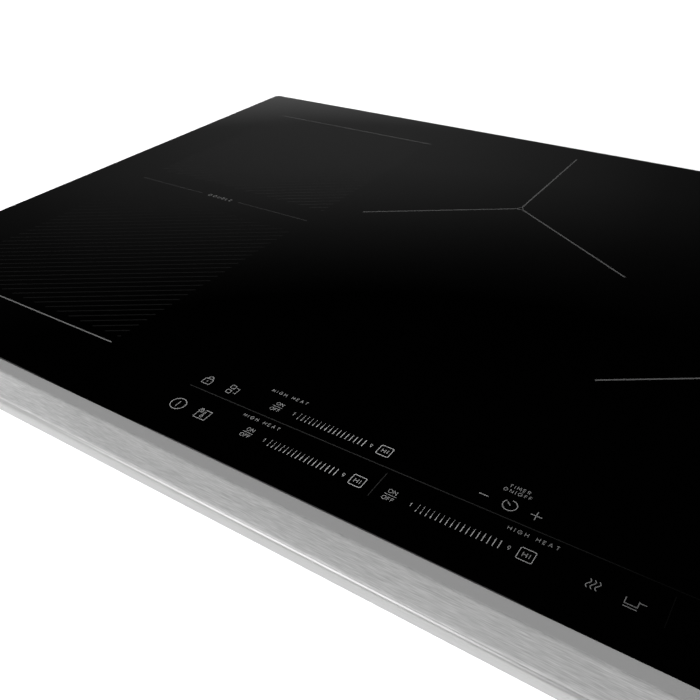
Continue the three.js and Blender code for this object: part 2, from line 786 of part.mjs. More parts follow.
// A four-way block: each way has a screw well on top and a wire slot at the rear.
function terminalBlock() {
  const low = { x: CONDUIT.x - 38, y: 118 };
  const high = { x: CONDUIT.x + 38, y: 148, z: 22 };
  const pitch = 17.5;
  const well = { radius: 4.5, y: 133, depth: 4 };
  const slot = { half: 6, depth: 8, z0: 8, z1: 16 };
  const tools = [-1.5, -0.5, 0.5, 1.5].flatMap((step) => {
    const x = CONDUIT.x + step * pitch;
    return [
      disc(well.radius, high.z - well.depth, high.z + LAP, 12, x, well.y),
      block(
        [x - slot.half, high.y - slot.depth, slot.z0],
        [x + slot.half, high.y + LAP, slot.z1],
      ),
    ];
  });
  return cut(block([low.x, low.y, FLOOR_Z], [high.x, high.y, high.z]), tools);
}

function junctionCover() {
  const wall = 1;
  const margin = 8; // wider than the recess on both sides
  const x0 = RECESS.x0 - margin;
  const x1 = RECESS.x1 + margin;
  const y0 = 104;
  const y1 = RECESS.y0 - SHEET - GAP;
  const top = COIL_PLATE_Z - 2;
  const outer = block([x0, y0, FLOOR_Z], [x1, y1, top]);
  const inside = block(
    [x0 + wall, y0 + wall, FLOOR_Z - LAP],
    [x1 - wall, y1 + LAP, top - wall],
  );
  const wireHole = block([x0 - LAP, y0 + 20, FLOOR_Z - LAP], [x0 + wall + LAP, y0 + 44, 18]);
  return cut(outer, [inside, wireHole]);
}

// A conduit connector: threaded tail through the recess wall, shoulder, and clamp barrel outside.
function conduitConnector() {
  const { tailRadius, boreRadius } = CONDUIT;
  const tailEnd = -14;
  const shoulder = { radius: tailRadius + 5, end: 6 };
  const barrel = { radius: tailRadius + 2, end: 26 };
  return turned([
    [boreRadius, tailEnd],
    [tailRadius, tailEnd],
    [tailRadius, GAP],
    [shoulder.radius, GAP],
    [shoulder.radius, shoulder.end],
    [barrel.radius, shoulder.end],
    [barrel.radius, barrel.end],
    [boreRadius, barrel.end],
  ], 24);
}

function locknut() {
  const thickness = 4;
  const face = -SHEET - GAP;
  const outer = CONDUIT.tailRadius + 6;
  return ring(CONDUIT.tailRadius + GAP, outer, face - thickness, face, 24);
}

// ---------------------------------------------------------------- worktop clamps

const CLAMP_TAB_Z = 31;
const CLAMP_REACH = 24;
const CLAMP_THICKNESS = 2;
const CLAMP_HALF_WIDTH = 17;
const CLAMP_SCREW_OFFSET = 14; // screw axis outside the box wall
const CLAMP_BOSS = { radius: 6, height: 5 };
const CLAMP_SCREW_TIP_Z = 46;
const CLAMP_SCREW_HEAD = { radius: 5, height: 4 };
const CLAMP_SCREW_PAD = { radius: 5, height: 3 };
const CLAMPS = {
  left_front: { side: -1, y: -150 },
  left_rear: { side: -1, y: 150 },
  right_front: { side: 1, y: -150 },
  right_rear: { side: 1, y: 150 },
};

// An angle that hangs below its tab on the box wall, so that the worktop's edge stays clear.
// x runs outwards from the wall.
function clampBracket() {
  const half = CLAMP_HALF_WIDTH;
  const tabTop = CLAMP_TAB_Z + CLAMP_THICKNESS;
  const legDrop = 25;
  const ribDepth = 16;
  const ribThickness = 2;
  const leg = block([GAP, -half, CLAMP_TAB_Z - legDrop], [GAP + CLAMP_THICKNESS, half, tabTop]);
  const tab = block([GAP + LAP, -half, CLAMP_TAB_Z], [CLAMP_REACH, half, tabTop - 0.2]);
  const bossTop = tabTop + CLAMP_BOSS.height;
  const boss = disc(CLAMP_BOSS.radius, CLAMP_TAB_Z + 0.5, bossTop, 16, CLAMP_SCREW_OFFSET, 0);
  const hole = disc(SCREW_RADIUS + GAP, 0, OVERALL_HEIGHT, 16, CLAMP_SCREW_OFFSET, 0);
  const ribOutline = [
    [LAP, CLAMP_TAB_Z + LAP],
    [LAP, CLAMP_TAB_Z - ribDepth],
    [ribDepth, CLAMP_TAB_Z + LAP],
  ];
  const ribs = [-1, 1].map((side) => {
    const y = side * (half - ribThickness);
    const rib = alongX(ribOutline, y - ribThickness / 2, y + ribThickness / 2);
    return rib.rotate([0, 0, 90]).mirror([1, 0, 0]);
  });
  return joined([leg, tab, boss, ...ribs]).subtract(hole);
}

function clampScrew() {
  const headTop = CLAMP_TAB_Z - SCREW_TRAVEL - 1;
  const headUnder = headTop - CLAMP_SCREW_HEAD.height;
  const padUnder = CLAMP_SCREW_TIP_Z - CLAMP_SCREW_PAD.height;
  return turned([
    [0, headUnder],
    [CLAMP_SCREW_HEAD.radius, headUnder],
    [CLAMP_SCREW_HEAD.radius, headTop],
    [SCREW_RADIUS, headTop],
    [SCREW_RADIUS, padUnder],
    [CLAMP_SCREW_PAD.radius, padUnder],
    [CLAMP_SCREW_PAD.radius, CLAMP_SCREW_TIP_Z],
    [0, CLAMP_SCREW_TIP_Z],
  ], 16);
}

function addClamps() {
  for (const [name, { side, y }] of Object.entries(CLAMPS)) {
    const bracket = side > 0 ? clampBracket() : clampBracket().mirror([1, 0, 0]);
    const wall = side * BOX_EDGE_X;
    add(`clamp_bracket_${name}`, bracket, ZINC_STEEL, wall, y);
    add(`clamp_screw_${name}`, clampScrew(), ZINC_STEEL, wall + side * CLAMP_SCREW_OFFSET, y);
  }
}

// ---------------------------------------------------------------- assembly

add('glass_top', glassTop(), BLACK_GLASS);
add('front_trim', frontTrim(), BRUSHED_METAL);
add('trim_end_cap_left', trimEndCap(-1), BRUSHED_METAL);
add('trim_end_cap_right', trimEndCap(1), BRUSHED_METAL);
add('burner_box', burnerBox(), GALVANISED);
addGaskets();
add('coil_plate', coilPlate(), ALUMINIUM);
addCoils();
add('board_tray', boardTray(), BLACK_PLASTIC);
for (const [side, x] of Object.entries(INVERTER_X)) {
  add(`inverter_board_${side}`, inverterBoard(x), CIRCUIT_GREEN);
  add(`heat_sink_${side}`, heatSink(x), ALUMINIUM);
}
add('filter_board', filterBoard(), CIRCUIT_GREEN);
addFans();
add('touch_board', touchBoard(), CIRCUIT_GREEN);
add('touch_board_holder', touchHolder(), PALE_PLASTIC);
add('terminal_block', terminalBlock(), PALE_PLASTIC);
add('junction_cover', junctionCover(), GALVANISED);
add('conduit_connector', atRecessWall(conduitConnector()), ZINC_STEEL);
add('connector_locknut', atRecessWall(locknut()), ZINC_STEEL);
addClamps();

export default cooktop;
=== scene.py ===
"""The looks of a drop-in induction cooktop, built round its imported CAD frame.

The printed marks, the glass, the trim, the coils' springs and windings, the screws and the conduit
connector are made here. Everything else keeps its CAD shape and gets a procedural material. Lengths
are in metres unless a comment says millimetres.
"""

import json
import math

import bmesh
import bpy
from mathutils import Matrix, Vector


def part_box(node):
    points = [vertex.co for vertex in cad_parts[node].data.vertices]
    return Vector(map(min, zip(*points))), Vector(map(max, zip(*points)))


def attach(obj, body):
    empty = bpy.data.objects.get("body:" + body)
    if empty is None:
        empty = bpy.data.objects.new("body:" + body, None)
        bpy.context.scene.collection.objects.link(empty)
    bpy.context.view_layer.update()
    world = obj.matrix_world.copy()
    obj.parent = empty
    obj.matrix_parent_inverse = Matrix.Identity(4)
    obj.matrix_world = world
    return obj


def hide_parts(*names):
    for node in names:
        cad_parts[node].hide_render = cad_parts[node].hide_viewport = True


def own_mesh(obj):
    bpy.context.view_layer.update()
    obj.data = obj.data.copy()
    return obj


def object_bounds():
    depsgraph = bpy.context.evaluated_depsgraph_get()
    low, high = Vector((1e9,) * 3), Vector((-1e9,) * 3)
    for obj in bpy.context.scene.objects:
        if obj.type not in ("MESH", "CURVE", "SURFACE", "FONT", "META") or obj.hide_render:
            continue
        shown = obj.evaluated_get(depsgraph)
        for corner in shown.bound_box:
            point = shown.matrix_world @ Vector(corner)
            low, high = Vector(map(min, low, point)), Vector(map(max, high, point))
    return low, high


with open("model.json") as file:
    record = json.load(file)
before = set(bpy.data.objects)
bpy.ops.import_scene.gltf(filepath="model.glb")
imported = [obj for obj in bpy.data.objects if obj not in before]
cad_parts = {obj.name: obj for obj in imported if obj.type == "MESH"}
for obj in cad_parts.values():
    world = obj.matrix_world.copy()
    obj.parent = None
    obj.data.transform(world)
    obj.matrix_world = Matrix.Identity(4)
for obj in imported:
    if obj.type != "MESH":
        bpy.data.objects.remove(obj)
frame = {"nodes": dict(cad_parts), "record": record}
nodes = frame["nodes"]
cad_low, cad_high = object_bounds()

MM = 0.001

# The glass plate's box gives the layout's origin: its left front corner, on its top face.
glass_low, glass_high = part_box("glass_top")
trim_low, trim_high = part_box("front_trim")
GLASS_DEPTH = glass_high.y - glass_low.y


# ---------------------------------------------------------------- camera

# Where the camera stands from the glass's left front corner, in glass depths, and how it looks.
CAMERA_REACH = Vector((1.1389, -0.4046, 0.5152))
CAMERA_AZIMUTH = math.radians(34.34)
CAMERA_ELEVATION = math.radians(33.92)
CAMERA_ROLL = math.radians(-1.57)
CAMERA_LENS = 40.72
CAMERA_SENSOR = 36.0
CAMERA_NEAR, CAMERA_FAR = 0.01, 100


def add_camera():
    corner = Vector((glass_low.x, glass_low.y, glass_high.z))
    back = Vector((
        math.sin(CAMERA_AZIMUTH) * math.cos(CAMERA_ELEVATION),
        -math.cos(CAMERA_AZIMUTH) * math.cos(CAMERA_ELEVATION),
        math.sin(CAMERA_ELEVATION),
    ))
    level = Vector((0, 0, 1)).cross(back).normalized()
    upright = back.cross(level)
    right = level * math.cos(CAMERA_ROLL) + upright * math.sin(CAMERA_ROLL)
    up = back.cross(right)
    data = bpy.data.cameras.new("camera")
    data.lens = CAMERA_LENS
    data.sensor_width = CAMERA_SENSOR
    data.clip_start = CAMERA_NEAR
    data.clip_end = CAMERA_FAR
    camera = bpy.data.objects.new("camera", data)
    turn = Matrix((right, up, back)).transposed().to_4x4()
    camera.matrix_world = Matrix.Translation(corner + CAMERA_REACH * GLASS_DEPTH) @ turn
    bpy.context.scene.collection.objects.link(camera)
    bpy.context.scene.camera = camera


# ---------------------------------------------------------------- node helpers

def grey(value):
    return (value, value, value)


class Nodes:
    """A node tree, with short ways to add and link its nodes."""

    def __init__(self, tree):
        self.tree = tree
        self.tree.nodes.clear()

    def node(self, kind, **settings):
        made = self.tree.nodes.new(kind)
        for key, value in settings.items():
            setattr(made, key, value)
        return made

    def link(self, source, target):
        self.tree.links.new(source, target)

    def math(self, operation, *values):
        """A number from two others; each is a constant or another node's output."""
        made = self.node("ShaderNodeMath", operation=operation)
        for socket, value in zip(made.inputs, values):
            if isinstance(value, (int, float)):
                socket.default_value = value
            else:
                self.link(value, socket)
        return made.outputs["Value"]

    def ramp(self, source, *stops):
        """Colours along the source; each stop is (position, (red, green, blue))."""
        made = self.node("ShaderNodeValToRGB")
        elements = made.color_ramp.elements
        while len(elements) < len(stops):
            elements.new(0.5)
        for element, (position, colour) in zip(elements, stops):
            element.position = position
            element.color = (*colour, 1.0)
        self.link(source, made.inputs["Fac"])
        return made.outputs["Color"]


class Shader(Nodes):
    """A material with one surface shader."""

    def __init__(self, name):
        self.material = bpy.data.materials.new(name)
        self.material.use_nodes = True
        super().__init__(self.material.node_tree)
        self.surface = self.node("ShaderNodeBsdfPrincipled")
        output = self.node("ShaderNodeOutputMaterial")
        self.link(self.surface.outputs["BSDF"], output.inputs["Surface"])
        self.place = self.node("ShaderNodeTexCoord").outputs["Object"]

    def set(self, **values):
        """Constant values on the shader's own sockets, named with underscores for spaces."""
        for key, value in values.items():
            self.surface.inputs[key.replace("_", " ")].default_value = value
        return self

    def stretched(self, stretch):
        mapping = self.node("ShaderNodeMapping")
        mapping.inputs["Scale"].default_value = stretch
        self.link(self.place, mapping.inputs["Vector"])
        return mapping.outputs["Vector"]

    def noise(self, scale, detail=3.0, stretch=(1, 1, 1), roughness=0.55):
        texture = self.node("ShaderNodeTexNoise")
        texture.inputs["Scale"].default_value = scale
        texture.inputs["Detail"].default_value = detail
        texture.inputs["Roughness"].default_value = roughness
        self.link(self.stretched(stretch), texture.inputs["Vector"])
        return texture.outputs["Fac"]

    def cells(self, scale, output="Color", feature="F1", stretch=(1, 1, 1)):
        texture = self.node("ShaderNodeTexVoronoi", feature=feature)
        texture.inputs["Scale"].default_value = scale
        self.link(self.stretched(stretch), texture.inputs["Vector"])
        return texture.outputs[output]

    def span(self, source, low, high, source_low=0.3, source_high=0.7):
        """A value that runs from low to high as the source runs between its own two ends."""
        mapped = self.node("ShaderNodeMapRange")
        mapped.inputs["From Min"].default_value = source_low
        mapped.inputs["From Max"].default_value = source_high
        mapped.inputs["To Min"].default_value = low
        mapped.inputs["To Max"].default_value = high
        self.link(source, mapped.inputs["Value"])
        return mapped.outputs["Result"]

    def colour(self, source, *stops):
        self.link(self.ramp(source, *stops), self.surface.inputs["Base Color"])
        return self

    def rough(self, source, low, high):
        self.link(self.span(source, low, high), self.surface.inputs["Roughness"])
        return self

    def bump(self, source, depth, strength=1.0):
        made = self.node("ShaderNodeBump")
        made.inputs["Strength"].default_value = strength
        made.inputs["Distance"].default_value = depth
        self.link(source, made.inputs["Height"])
        self.link(made.outputs["Normal"], self.surface.inputs["Normal"])
        return self


# ---------------------------------------------------------------- materials

def black_glass():
    """Deep black, very smooth, with the faintest clouding of a wiped surface."""
    look = Shader("black_glass_ceramic")
    clouds = look.noise(9.0, 4.0)
    look.colour(clouds, (0.3, grey(0.0001)), (0.7, grey(0.0002)))
    look.rough(look.noise(14.0, 5.0), 0.03, 0.05)
    look.bump(look.noise(900.0, 1.0), 0.0000015, 0.4)
    return look.set(IOR=1.5, Specular_IOR_Level=0.5).material


BAND_RAGGEDNESS = 6.0 * MM  # how far a stroke's value, from 0 to 1, moves the brushing's top edge


def brushed_trim(band_edge_y):
    """A sloping face brushed along X in short strokes, below a fine matte band on the level."""
    look = Shader("brushed_trim_metal")
    strokes = look.noise(1.0, 1.5, stretch=(130, 2500, 2500), roughness=0.6)
    patches = look.noise(1.0, 2.0, stretch=(16, 110, 110))
    split = look.node("ShaderNodeSeparateXYZ")
    look.link(look.place, split.inputs["Vector"])
    ragged = look.math("ADD", split.outputs["Y"], look.math("MULTIPLY", strokes, BAND_RAGGEDNESS))
    edge = band_edge_y + BAND_RAGGEDNESS / 2
    brushed = look.span(ragged, 1.0, 0.0, edge - 0.5 * MM, edge + 0.3 * MM)
    tone = look.math(
        "ADD",
        look.math("MULTIPLY", look.math("SUBTRACT", strokes, 0.5), 1.15),
        look.math("MULTIPLY", look.math("SUBTRACT", patches, 0.5), 0.45),
    )
    shown = look.math("ADD", look.math("MULTIPLY", tone, brushed), look.math("MULTIPLY", brushed, 0.5))
    look.colour(shown, (0.0, grey(0.48)), (0.22, grey(0.36)), (0.5, grey(0.455)), (0.78, grey(0.56)))
    look.rough(shown, 0.42, 0.36)
    look.bump(shown, 0.00001, 0.2)
    return look.set(Metallic=0.6).material


def polished_trim():
    """The trim's bend and lip, left as rolled: smoother, with faint lines along it."""
    look = Shader("rolled_trim_metal")
    lines = look.noise(1.0, 2.0, stretch=(4, 900, 900))
    look.colour(lines, (0.3, grey(0.335)), (0.7, grey(0.375)))
    look.rough(lines, 0.28, 0.35)
    look.bump(lines, 0.00001, 0.2)
    return look.set(Metallic=0.8).material


def galvanised_sheet():
    """Zinc spangle in cells about a centimetre across, over rolled steel."""
    look = Shader("galvanised_steel")
    spangle = look.cells(95.0)
    value = look.node("ShaderNodeRGBToBW")
    look.link(spangle, value.inputs["Color"])
    mixed = look.math(
        "ADD",
        look.math("MULTIPLY", value.outputs["Val"], 0.55),
        look.math("MULTIPLY", look.noise(160.0, 4.0), 0.45),
    )
    look.colour(mixed, (0.25, (0.37, 0.385, 0.40)), (0.75, (0.56, 0.57, 0.575)))
    look.rough(mixed, 0.34, 0.52)
    look.bump(look.noise(420.0, 2.0), 0.00003, 0.25)
    return look.set(Metallic=0.92).material


def foam_strip():
    """Small closed cells."""
    look = Shader("closed_cell_foam")
    cells = look.cells(1500.0, "Distance")
    look.colour(look.noise(300.0), (0.3, grey(0.014)), (0.7, grey(0.03)))
    look.bump(cells, 0.00025, 0.8)
    return look.set(Roughness=0.95).material


def sheet_aluminium():
    """Rolling lines along Y."""
    look = Shader("rolled_aluminium")
    rolled = look.noise(1.0, 3.0, stretch=(900, 14, 900))
    look.colour(rolled, (0.3, (0.55, 0.56, 0.57)), (0.7, (0.70, 0.71, 0.72)))
    look.rough(rolled, 0.28, 0.42)
    look.bump(rolled, 0.00002, 0.3)
    return look.set(Metallic=1.0).material


def enamelled_wire():
    """Stranded wire: a diagonal twist over a copper-coloured enamel."""
    look = Shader("enamelled_litz_wire")
    twist = look.node("ShaderNodeTexWave", wave_type="BANDS", bands_direction="DIAGONAL")
    twist.inputs["Scale"].default_value = 420.0
    twist.inputs["Distortion"].default_value = 2.0
    look.link(look.place, twist.inputs["Vector"])
    look.colour(look.noise(240.0, 3.0), (0.3, (0.36, 0.13, 0.05)), (0.7, (0.62, 0.27, 0.13)))
    look.rough(look.noise(300.0), 0.26, 0.42)
    look.bump(twist.outputs["Fac"], 0.0003, 0.6)
    return look.set(Metallic=0.85, Coat_Weight=0.3).material


def mica_sheet():
    """Pressed pale flakes."""
    look = Shader("mica_sheet")
    flakes = look.node("ShaderNodeRGBToBW")
    look.link(look.cells(260.0), flakes.inputs["Color"])
    look.colour(flakes.outputs["Val"], (0.1, (0.50, 0.45, 0.35)), (0.9, (0.68, 0.63, 0.52)))
    look.rough(look.noise(200.0), 0.45, 0.7)
    look.bump(look.noise(700.0, 3.0), 0.0001, 0.5)
    return look.material


def moulded_plastic(name, dark, pale):
    """A mould's fine grain, with faint clouding."""
    look = Shader(name)
    look.colour(look.noise(60.0, 3.0), (0.3, dark), (0.7, pale))
    look.rough(look.noise(220.0), 0.42, 0.58)
    look.bump(look.noise(1400.0, 2.0), 0.00006, 0.5)
    return look.material


def circuit_board():
    """Solder resist over a net of traces, with pale pads where the traces meet."""
    look = Shader("circuit_board")
    traces = look.cells(210.0, "Distance", "DISTANCE_TO_EDGE", stretch=(1, 1, 0.2))
    look.colour(
        traces,
        (0.02, (0.07, 0.25, 0.12)),
        (0.06, (0.015, 0.10, 0.045)),
        (0.9, (0.012, 0.075, 0.035)),
    )
    look.rough(look.noise(500.0), 0.25, 0.4)
    look.bump(look.span(traces, 1.0, 0.0, 0.0, 0.06), 0.00005, 0.6)
    return look.set(Coat_Weight=0.4).material


def plated_steel(name, dark, pale, smooth, rough):
    """A cloudy thin plating over fine grain."""
    look = Shader(name)
    patina = look.noise(130.0, 5.0)
    look.colour(patina, (0.3, dark), (0.7, pale))
    look.rough(look.noise(450.0, 3.0), smooth, rough)
    look.bump(look.noise(1600.0, 2.0), 0.00002, 0.3)
    return look.set(Metallic=1.0).material


INK_SHADE_X = (430.0, 570.0)  # mm from the glass's left edge; over this span the ink is darkened as painted shade


def printed_ink(name, value, shaded_share=1.0):
    """Fired ceramic ink: slightly grainy. Towards the right its value is darkened to a share of itself:
    painted shade where the light falls off.
    """
    look = Shader(name)
    grain = look.noise(2600.0, 2.0)
    split = look.node("ShaderNodeSeparateXYZ")
    look.link(look.place, split.inputs["Vector"])
    painted_shade = look.span(split.outputs["X"], 1.0, shaded_share, *(glass_low.x + x * MM for x in INK_SHADE_X))
    tone = look.math("MULTIPLY", look.span(grain, 0.90 * value, 1.08 * value), painted_shade)
    look.link(tone, look.surface.inputs["Base Color"])
    look.bump(grain, 0.000001, 0.3)
    return look.set(Roughness=0.05).material


# ---------------------------------------------------------------- mesh helpers

def piece(name, bm, material, body="root", smooth=False):
    """A mesh object from a bmesh, in the row frame, riding on a CAD body."""
    bmesh.ops.recalc_face_normals(bm, faces=bm.faces)
    mesh = bpy.data.meshes.new(name)
    bm.to_mesh(mesh)
    bm.free()
    mesh.materials.append(material)
    for polygon in mesh.polygons:
        polygon.use_smooth = smooth
    made = bpy.data.objects.new(name, mesh)
    bpy.context.scene.collection.objects.link(made)
    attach(made, body)
    return made


def add_skin(bm, rings, capped=True):
    """Faces between neighbouring rings of vertices and, when capped, over the two end rings."""
    for first, second in zip(rings, rings[1:]):
        for i in range(len(first)):
            j = (i + 1) % len(first)
            bm.faces.new((first[i], first[j], second[j], second[i]))
    if capped:
        bm.faces.new(list(reversed(rings[0])))
        bm.faces.new(rings[-1])


def sharpen(obj, degrees):
    """Keeps faces flat across edges sharper than the angle."""
    mesh = obj.data
    bm = bmesh.new()
    bm.from_mesh(mesh)
    limit = math.radians(degrees)
    for edge in bm.edges:
        if len(edge.link_faces) == 2 and edge.calc_face_angle(0) > limit:
            edge.smooth = False
    bm.to_mesh(mesh)
    bm.free()


# ---------------------------------------------------------------- printed marks

# Ink lies on the glass; each mark is a closed slip of this thickness.
INK_LIFT = 0.02 * MM
INK_THICKNESS = 0.03 * MM


def on_glass(x, y):
    """A point x mm right of the glass's left edge and y mm behind its front edge."""
    return glass_low.x + x * MM, glass_low.y + y * MM


def bow(x, y, across, along, start, end, steps=8):
    """Points along part of an ellipse, in degrees anticlockwise from +X."""
    angles = [math.radians(start + (end - start) * i / steps) for i in range(steps + 1)]
    return [(x + across * math.cos(angle), y + along * math.sin(angle)) for angle in angles]


def arc(x, y, radius, start, end, steps=24):
    return bow(x, y, radius, radius, start, end, steps)


MITRE_LIMIT = 0.35  # a corner sharper than this cosine is cut short


def ribbon_sides(points, width, closed):
    """The left and right edges of a line of the given width, mitred at its corners."""
    half = width / 2
    count = len(points)
    left, right = [], []
    for i, (x, y) in enumerate(points):
        before = Vector(points[i - 1]) if closed or i > 0 else None
        after = Vector(points[(i + 1) % count]) if closed or i < count - 1 else None
        here = Vector((x, y))
        along = [(q - p).normalized() for p, q in ((before, here), (here, after)) if p and q]
        mean = sum(along, Vector((0, 0))).normalized()
        across = Vector((-mean.y, mean.x))
        reach = half / max(MITRE_LIMIT, abs(across.dot(Vector((-along[0].y, along[0].x)))))
        left.append(here + across * reach)
        right.append(here - across * reach)
    return left, right


OVAL = bow(0.45, 0.5, 0.45, 0.5, 0, 360, 20)
OVAL[-1] = OVAL[0]
# Each glyph: its width and its strokes, for a height of one.
GLYPHS = {
    " ": (0.30, []),
    "|": (0.0, [[(0, -0.1), (0, 1.1)]]),
    "1": (0.22, [[(0, 0.78), (0.22, 1), (0.22, 0)]]),
    "9": (0.5, [[*bow(0.25, 0.7, 0.25, 0.3, -30, 330, 14)], [(0.5, 0.66), (0.42, 0.3), (0.2, 0)]]),
    "A": (0.8, [[(0, 0), (0.4, 1), (0.8, 0)], [(0.15, 0.34), (0.65, 0.34)]]),
    "B": (0.55, [
        [(0.3, 0.53), (0, 0.53), (0, 1), (0.3, 1), *bow(0.3, 0.765, 0.2, 0.235, 90, -90)[1:]],
        [(0, 0.53), (0, 0), (0.33, 0), *bow(0.33, 0.265, 0.22, 0.265, -90, 90)[1:]],
    ]),
    "D": (0.75, [[(0.3, 0), (0, 0), (0, 1), (0.3, 1), *bow(0.3, 0.5, 0.45, 0.5, 90, -90)[1:]]]),
    "E": (0.5, [[(0.5, 1), (0, 1), (0, 0), (0.5, 0)], [(0, 0.52), (0.44, 0.52)]]),
    "F": (0.5, [[(0.5, 1), (0, 1), (0, 0)], [(0, 0.52), (0.44, 0.52)]]),
    "G": (0.88, [[*bow(0.45, 0.5, 0.45, 0.5, 45, 360, 16), (0.52, 0.5)]]),
    "H": (0.72, [[(0, 0), (0, 1)], [(0.72, 0), (0.72, 1)], [(0, 0.52), (0.72, 0.52)]]),
    "I": (0.0, [[(0, 0), (0, 1)]]),
    "L": (0.5, [[(0, 1), (0, 0), (0.5, 0)]]),
    "M": (0.9, [[(0, 0), (0, 1), (0.45, 0.3), (0.9, 1), (0.9, 0)]]),
    "N": (0.75, [[(0, 0), (0, 1), (0.75, 0), (0.75, 1)]]),
    "O": (0.9, [OVAL]),
    "R": (0.58, [
        [(0, 0), (0, 1), (0.32, 1), *bow(0.32, 0.74, 0.24, 0.26, 90, -90)[1:], (0, 0.48)],
        [(0.3, 0.48), (0.58, 0)],
    ]),
    "T": (0.66, [[(0, 1), (0.66, 1)], [(0.33, 1), (0.33, 0)]]),
    "U": (0.7, [[(0, 1), (0, 0.35), *bow(0.35, 0.35, 0.35, 0.35, 180, 360)[1:], (0.7, 1)]]),
}


class Print:
    """A set of marks printed in one ink, in millimetres on the glass."""

    def __init__(self):
        self.bm = bmesh.new()

    def edges(self, outline):
        """The outline's vertices on the ink's underside and on its top."""
        low = glass_high.z + INK_LIFT
        return [
            [self.bm.verts.new((*on_glass(*point), z)) for point in outline]
            for z in (low, low + INK_THICKNESS)
        ]

    def shape(self, outline):
        add_skin(self.bm, self.edges(outline))

    def line(self, points, width, closed=False):
        left, right = ribbon_sides(points, width, closed)
        if not closed:
            self.shape([*left, *reversed(right)])
            return
        outer_low, outer_high = self.edges(left)
        inner_low, inner_high = self.edges(right)
        add_skin(self.bm, [outer_low, outer_high, inner_high, inner_low, outer_low], capped=False)

    def circle(self, x, y, radius, width, steps=40):
        self.line(arc(x, y, radius, 0, 360, steps)[:-1], width, closed=True)

    def rounded_box(self, x0, y0, x1, y1, corner, width):
        points = [
            *arc(x1 - corner, y1 - corner, corner, 0, 90, 5),
            *arc(x0 + corner, y1 - corner, corner, 90, 180, 5),
            *arc(x0 + corner, y0 + corner, corner, 180, 270, 5),
            *arc(x1 - corner, y0 + corner, corner, 270, 360, 5),
        ]
        self.line(points, width, closed=True)

    def word(self, letters, x, y, height, width, stroke):
        """Plain capitals or digits drawn in lines of the stroke's width, centred on a point."""
        wide = [GLYPHS[letter][0] for letter in letters]
        gap = 0.0
        if len(letters) > 1:
            gap = (width - sum(wide) * height) / (len(letters) - 1)
        pen = x - width / 2 if len(letters) > 1 else x - wide[0] * height / 2
        for letter, span in zip(letters, wide):
            for path in GLYPHS[letter][1]:
                points = [(pen + u * height, y + (v - 0.5) * height) for u, v in path]
                closed = points[0] == points[-1]
                self.line(points[:-1] if closed else points, stroke, closed)
            pen += span * height + gap

    def done(self, name, material):
        piece(name, self.bm, material)


# The double zone on the left, in mm on the glass.
DOUBLE_X0, DOUBLE_X1 = 52.0, 233.8
DOUBLE_FRONT_Y, DOUBLE_MIDDLE_Y, DOUBLE_REAR_Y = 47.8, 253.6, 458.2
DOUBLE_GAP_X0, DOUBLE_GAP_X1 = 122.4, 162.0
DOUBLE_WORD_X = 142.6
HATCH_OUTER_MARGIN, HATCH_INNER_MARGIN = 6.8, 22.0
HATCH_ANGLE = math.radians(33.3)
HATCH_PITCH = 7.56  # between lines, measured along Y
HATCH_START = 1.2  # from a half's right front corner to the first line, measured along Y
HATCH_SHORTEST = 1.0
ZONE_ARM_ANGLE = 33.4
ZONE_HUB = 3.5
# Single zones: centre and arm length, in mm on the glass.
SINGLE_ZONES = ((369.6, 361.0, 127.8), (605.8, 234.8, 127.8), (795.0, 381.0, 80.0))


def hatch_lines(x0, x1, y0, y1):
    """Parallel slanting lines clipped to a rectangle, from its right front corner upwards."""
    slope = math.tan(HATCH_ANGLE)
    lines = []
    crossing = y0 + HATCH_START
    while crossing - slope * (x1 - x0) < y1:
        start_x = x1 - (crossing - y0) / slope if crossing - slope * (x1 - x0) < y0 else x0
        end_x = x1 if crossing <= y1 else x1 - (crossing - y1) / slope
        start_y = crossing - slope * (x1 - start_x)
        end_y = crossing - slope * (x1 - end_x)
        if end_x - start_x > HATCH_SHORTEST:
            lines.append(((start_x, start_y), (end_x, end_y)))
        crossing += HATCH_PITCH
    return lines


def print_hatching(front_ink, rear_ink):
    """Fine slanting lines over both halves of the double zone."""
    front = (DOUBLE_FRONT_Y + HATCH_OUTER_MARGIN, DOUBLE_MIDDLE_Y - HATCH_INNER_MARGIN)
    rear = (DOUBLE_MIDDLE_Y + HATCH_INNER_MARGIN, DOUBLE_REAR_Y - HATCH_OUTER_MARGIN)
    for name, (y0, y1), ink in (
        ("zone_hatching_front", front, front_ink),
        ("zone_hatching_rear", rear, rear_ink),
    ):
        marks = Print()
        for ends in hatch_lines(DOUBLE_X0, DOUBLE_X1, y0, y1):
            marks.line(ends, width=1.0)
        marks.done(name, ink)


def print_double_zone(front_ink, middle_ink, rear_ink):
    """Three lines across the double zone; the middle one leaves a gap for its word."""
    for name, y, ink in (
        ("double_zone_front_line", DOUBLE_FRONT_Y, front_ink),
        ("double_zone_rear_line", DOUBLE_REAR_Y, rear_ink),
    ):
        marks = Print()
        marks.line([(DOUBLE_X0, y), (DOUBLE_X1, y)], width=0.9)
        marks.done(name, ink)
    marks = Print()
    marks.line([(DOUBLE_X0, DOUBLE_MIDDLE_Y), (DOUBLE_GAP_X0, DOUBLE_MIDDLE_Y)], width=0.7)
    marks.line([(DOUBLE_GAP_X1, DOUBLE_MIDDLE_Y), (DOUBLE_X1, DOUBLE_MIDDLE_Y)], width=0.7)
    marks.done("double_zone_middle_line", middle_ink)


def print_single_zones(material):
    """Three arms from a small open triangle in the middle of each zone."""
    marks = Print()
    for x, y, arm in SINGLE_ZONES:
        corners = []
        for angle in (90, 180 + ZONE_ARM_ANGLE, -ZONE_ARM_ANGLE):
            ray = Vector((math.cos(math.radians(angle)), math.sin(math.radians(angle))))
            corners.append((x + ZONE_HUB * ray.x, y + ZONE_HUB * ray.y))
            marks.line([corners[-1], (x + arm * ray.x, y + arm * ray.y)], width=1.15)
        marks.line(corners, width=0.7, closed=True)
    marks.done("single_zone_arms", material)


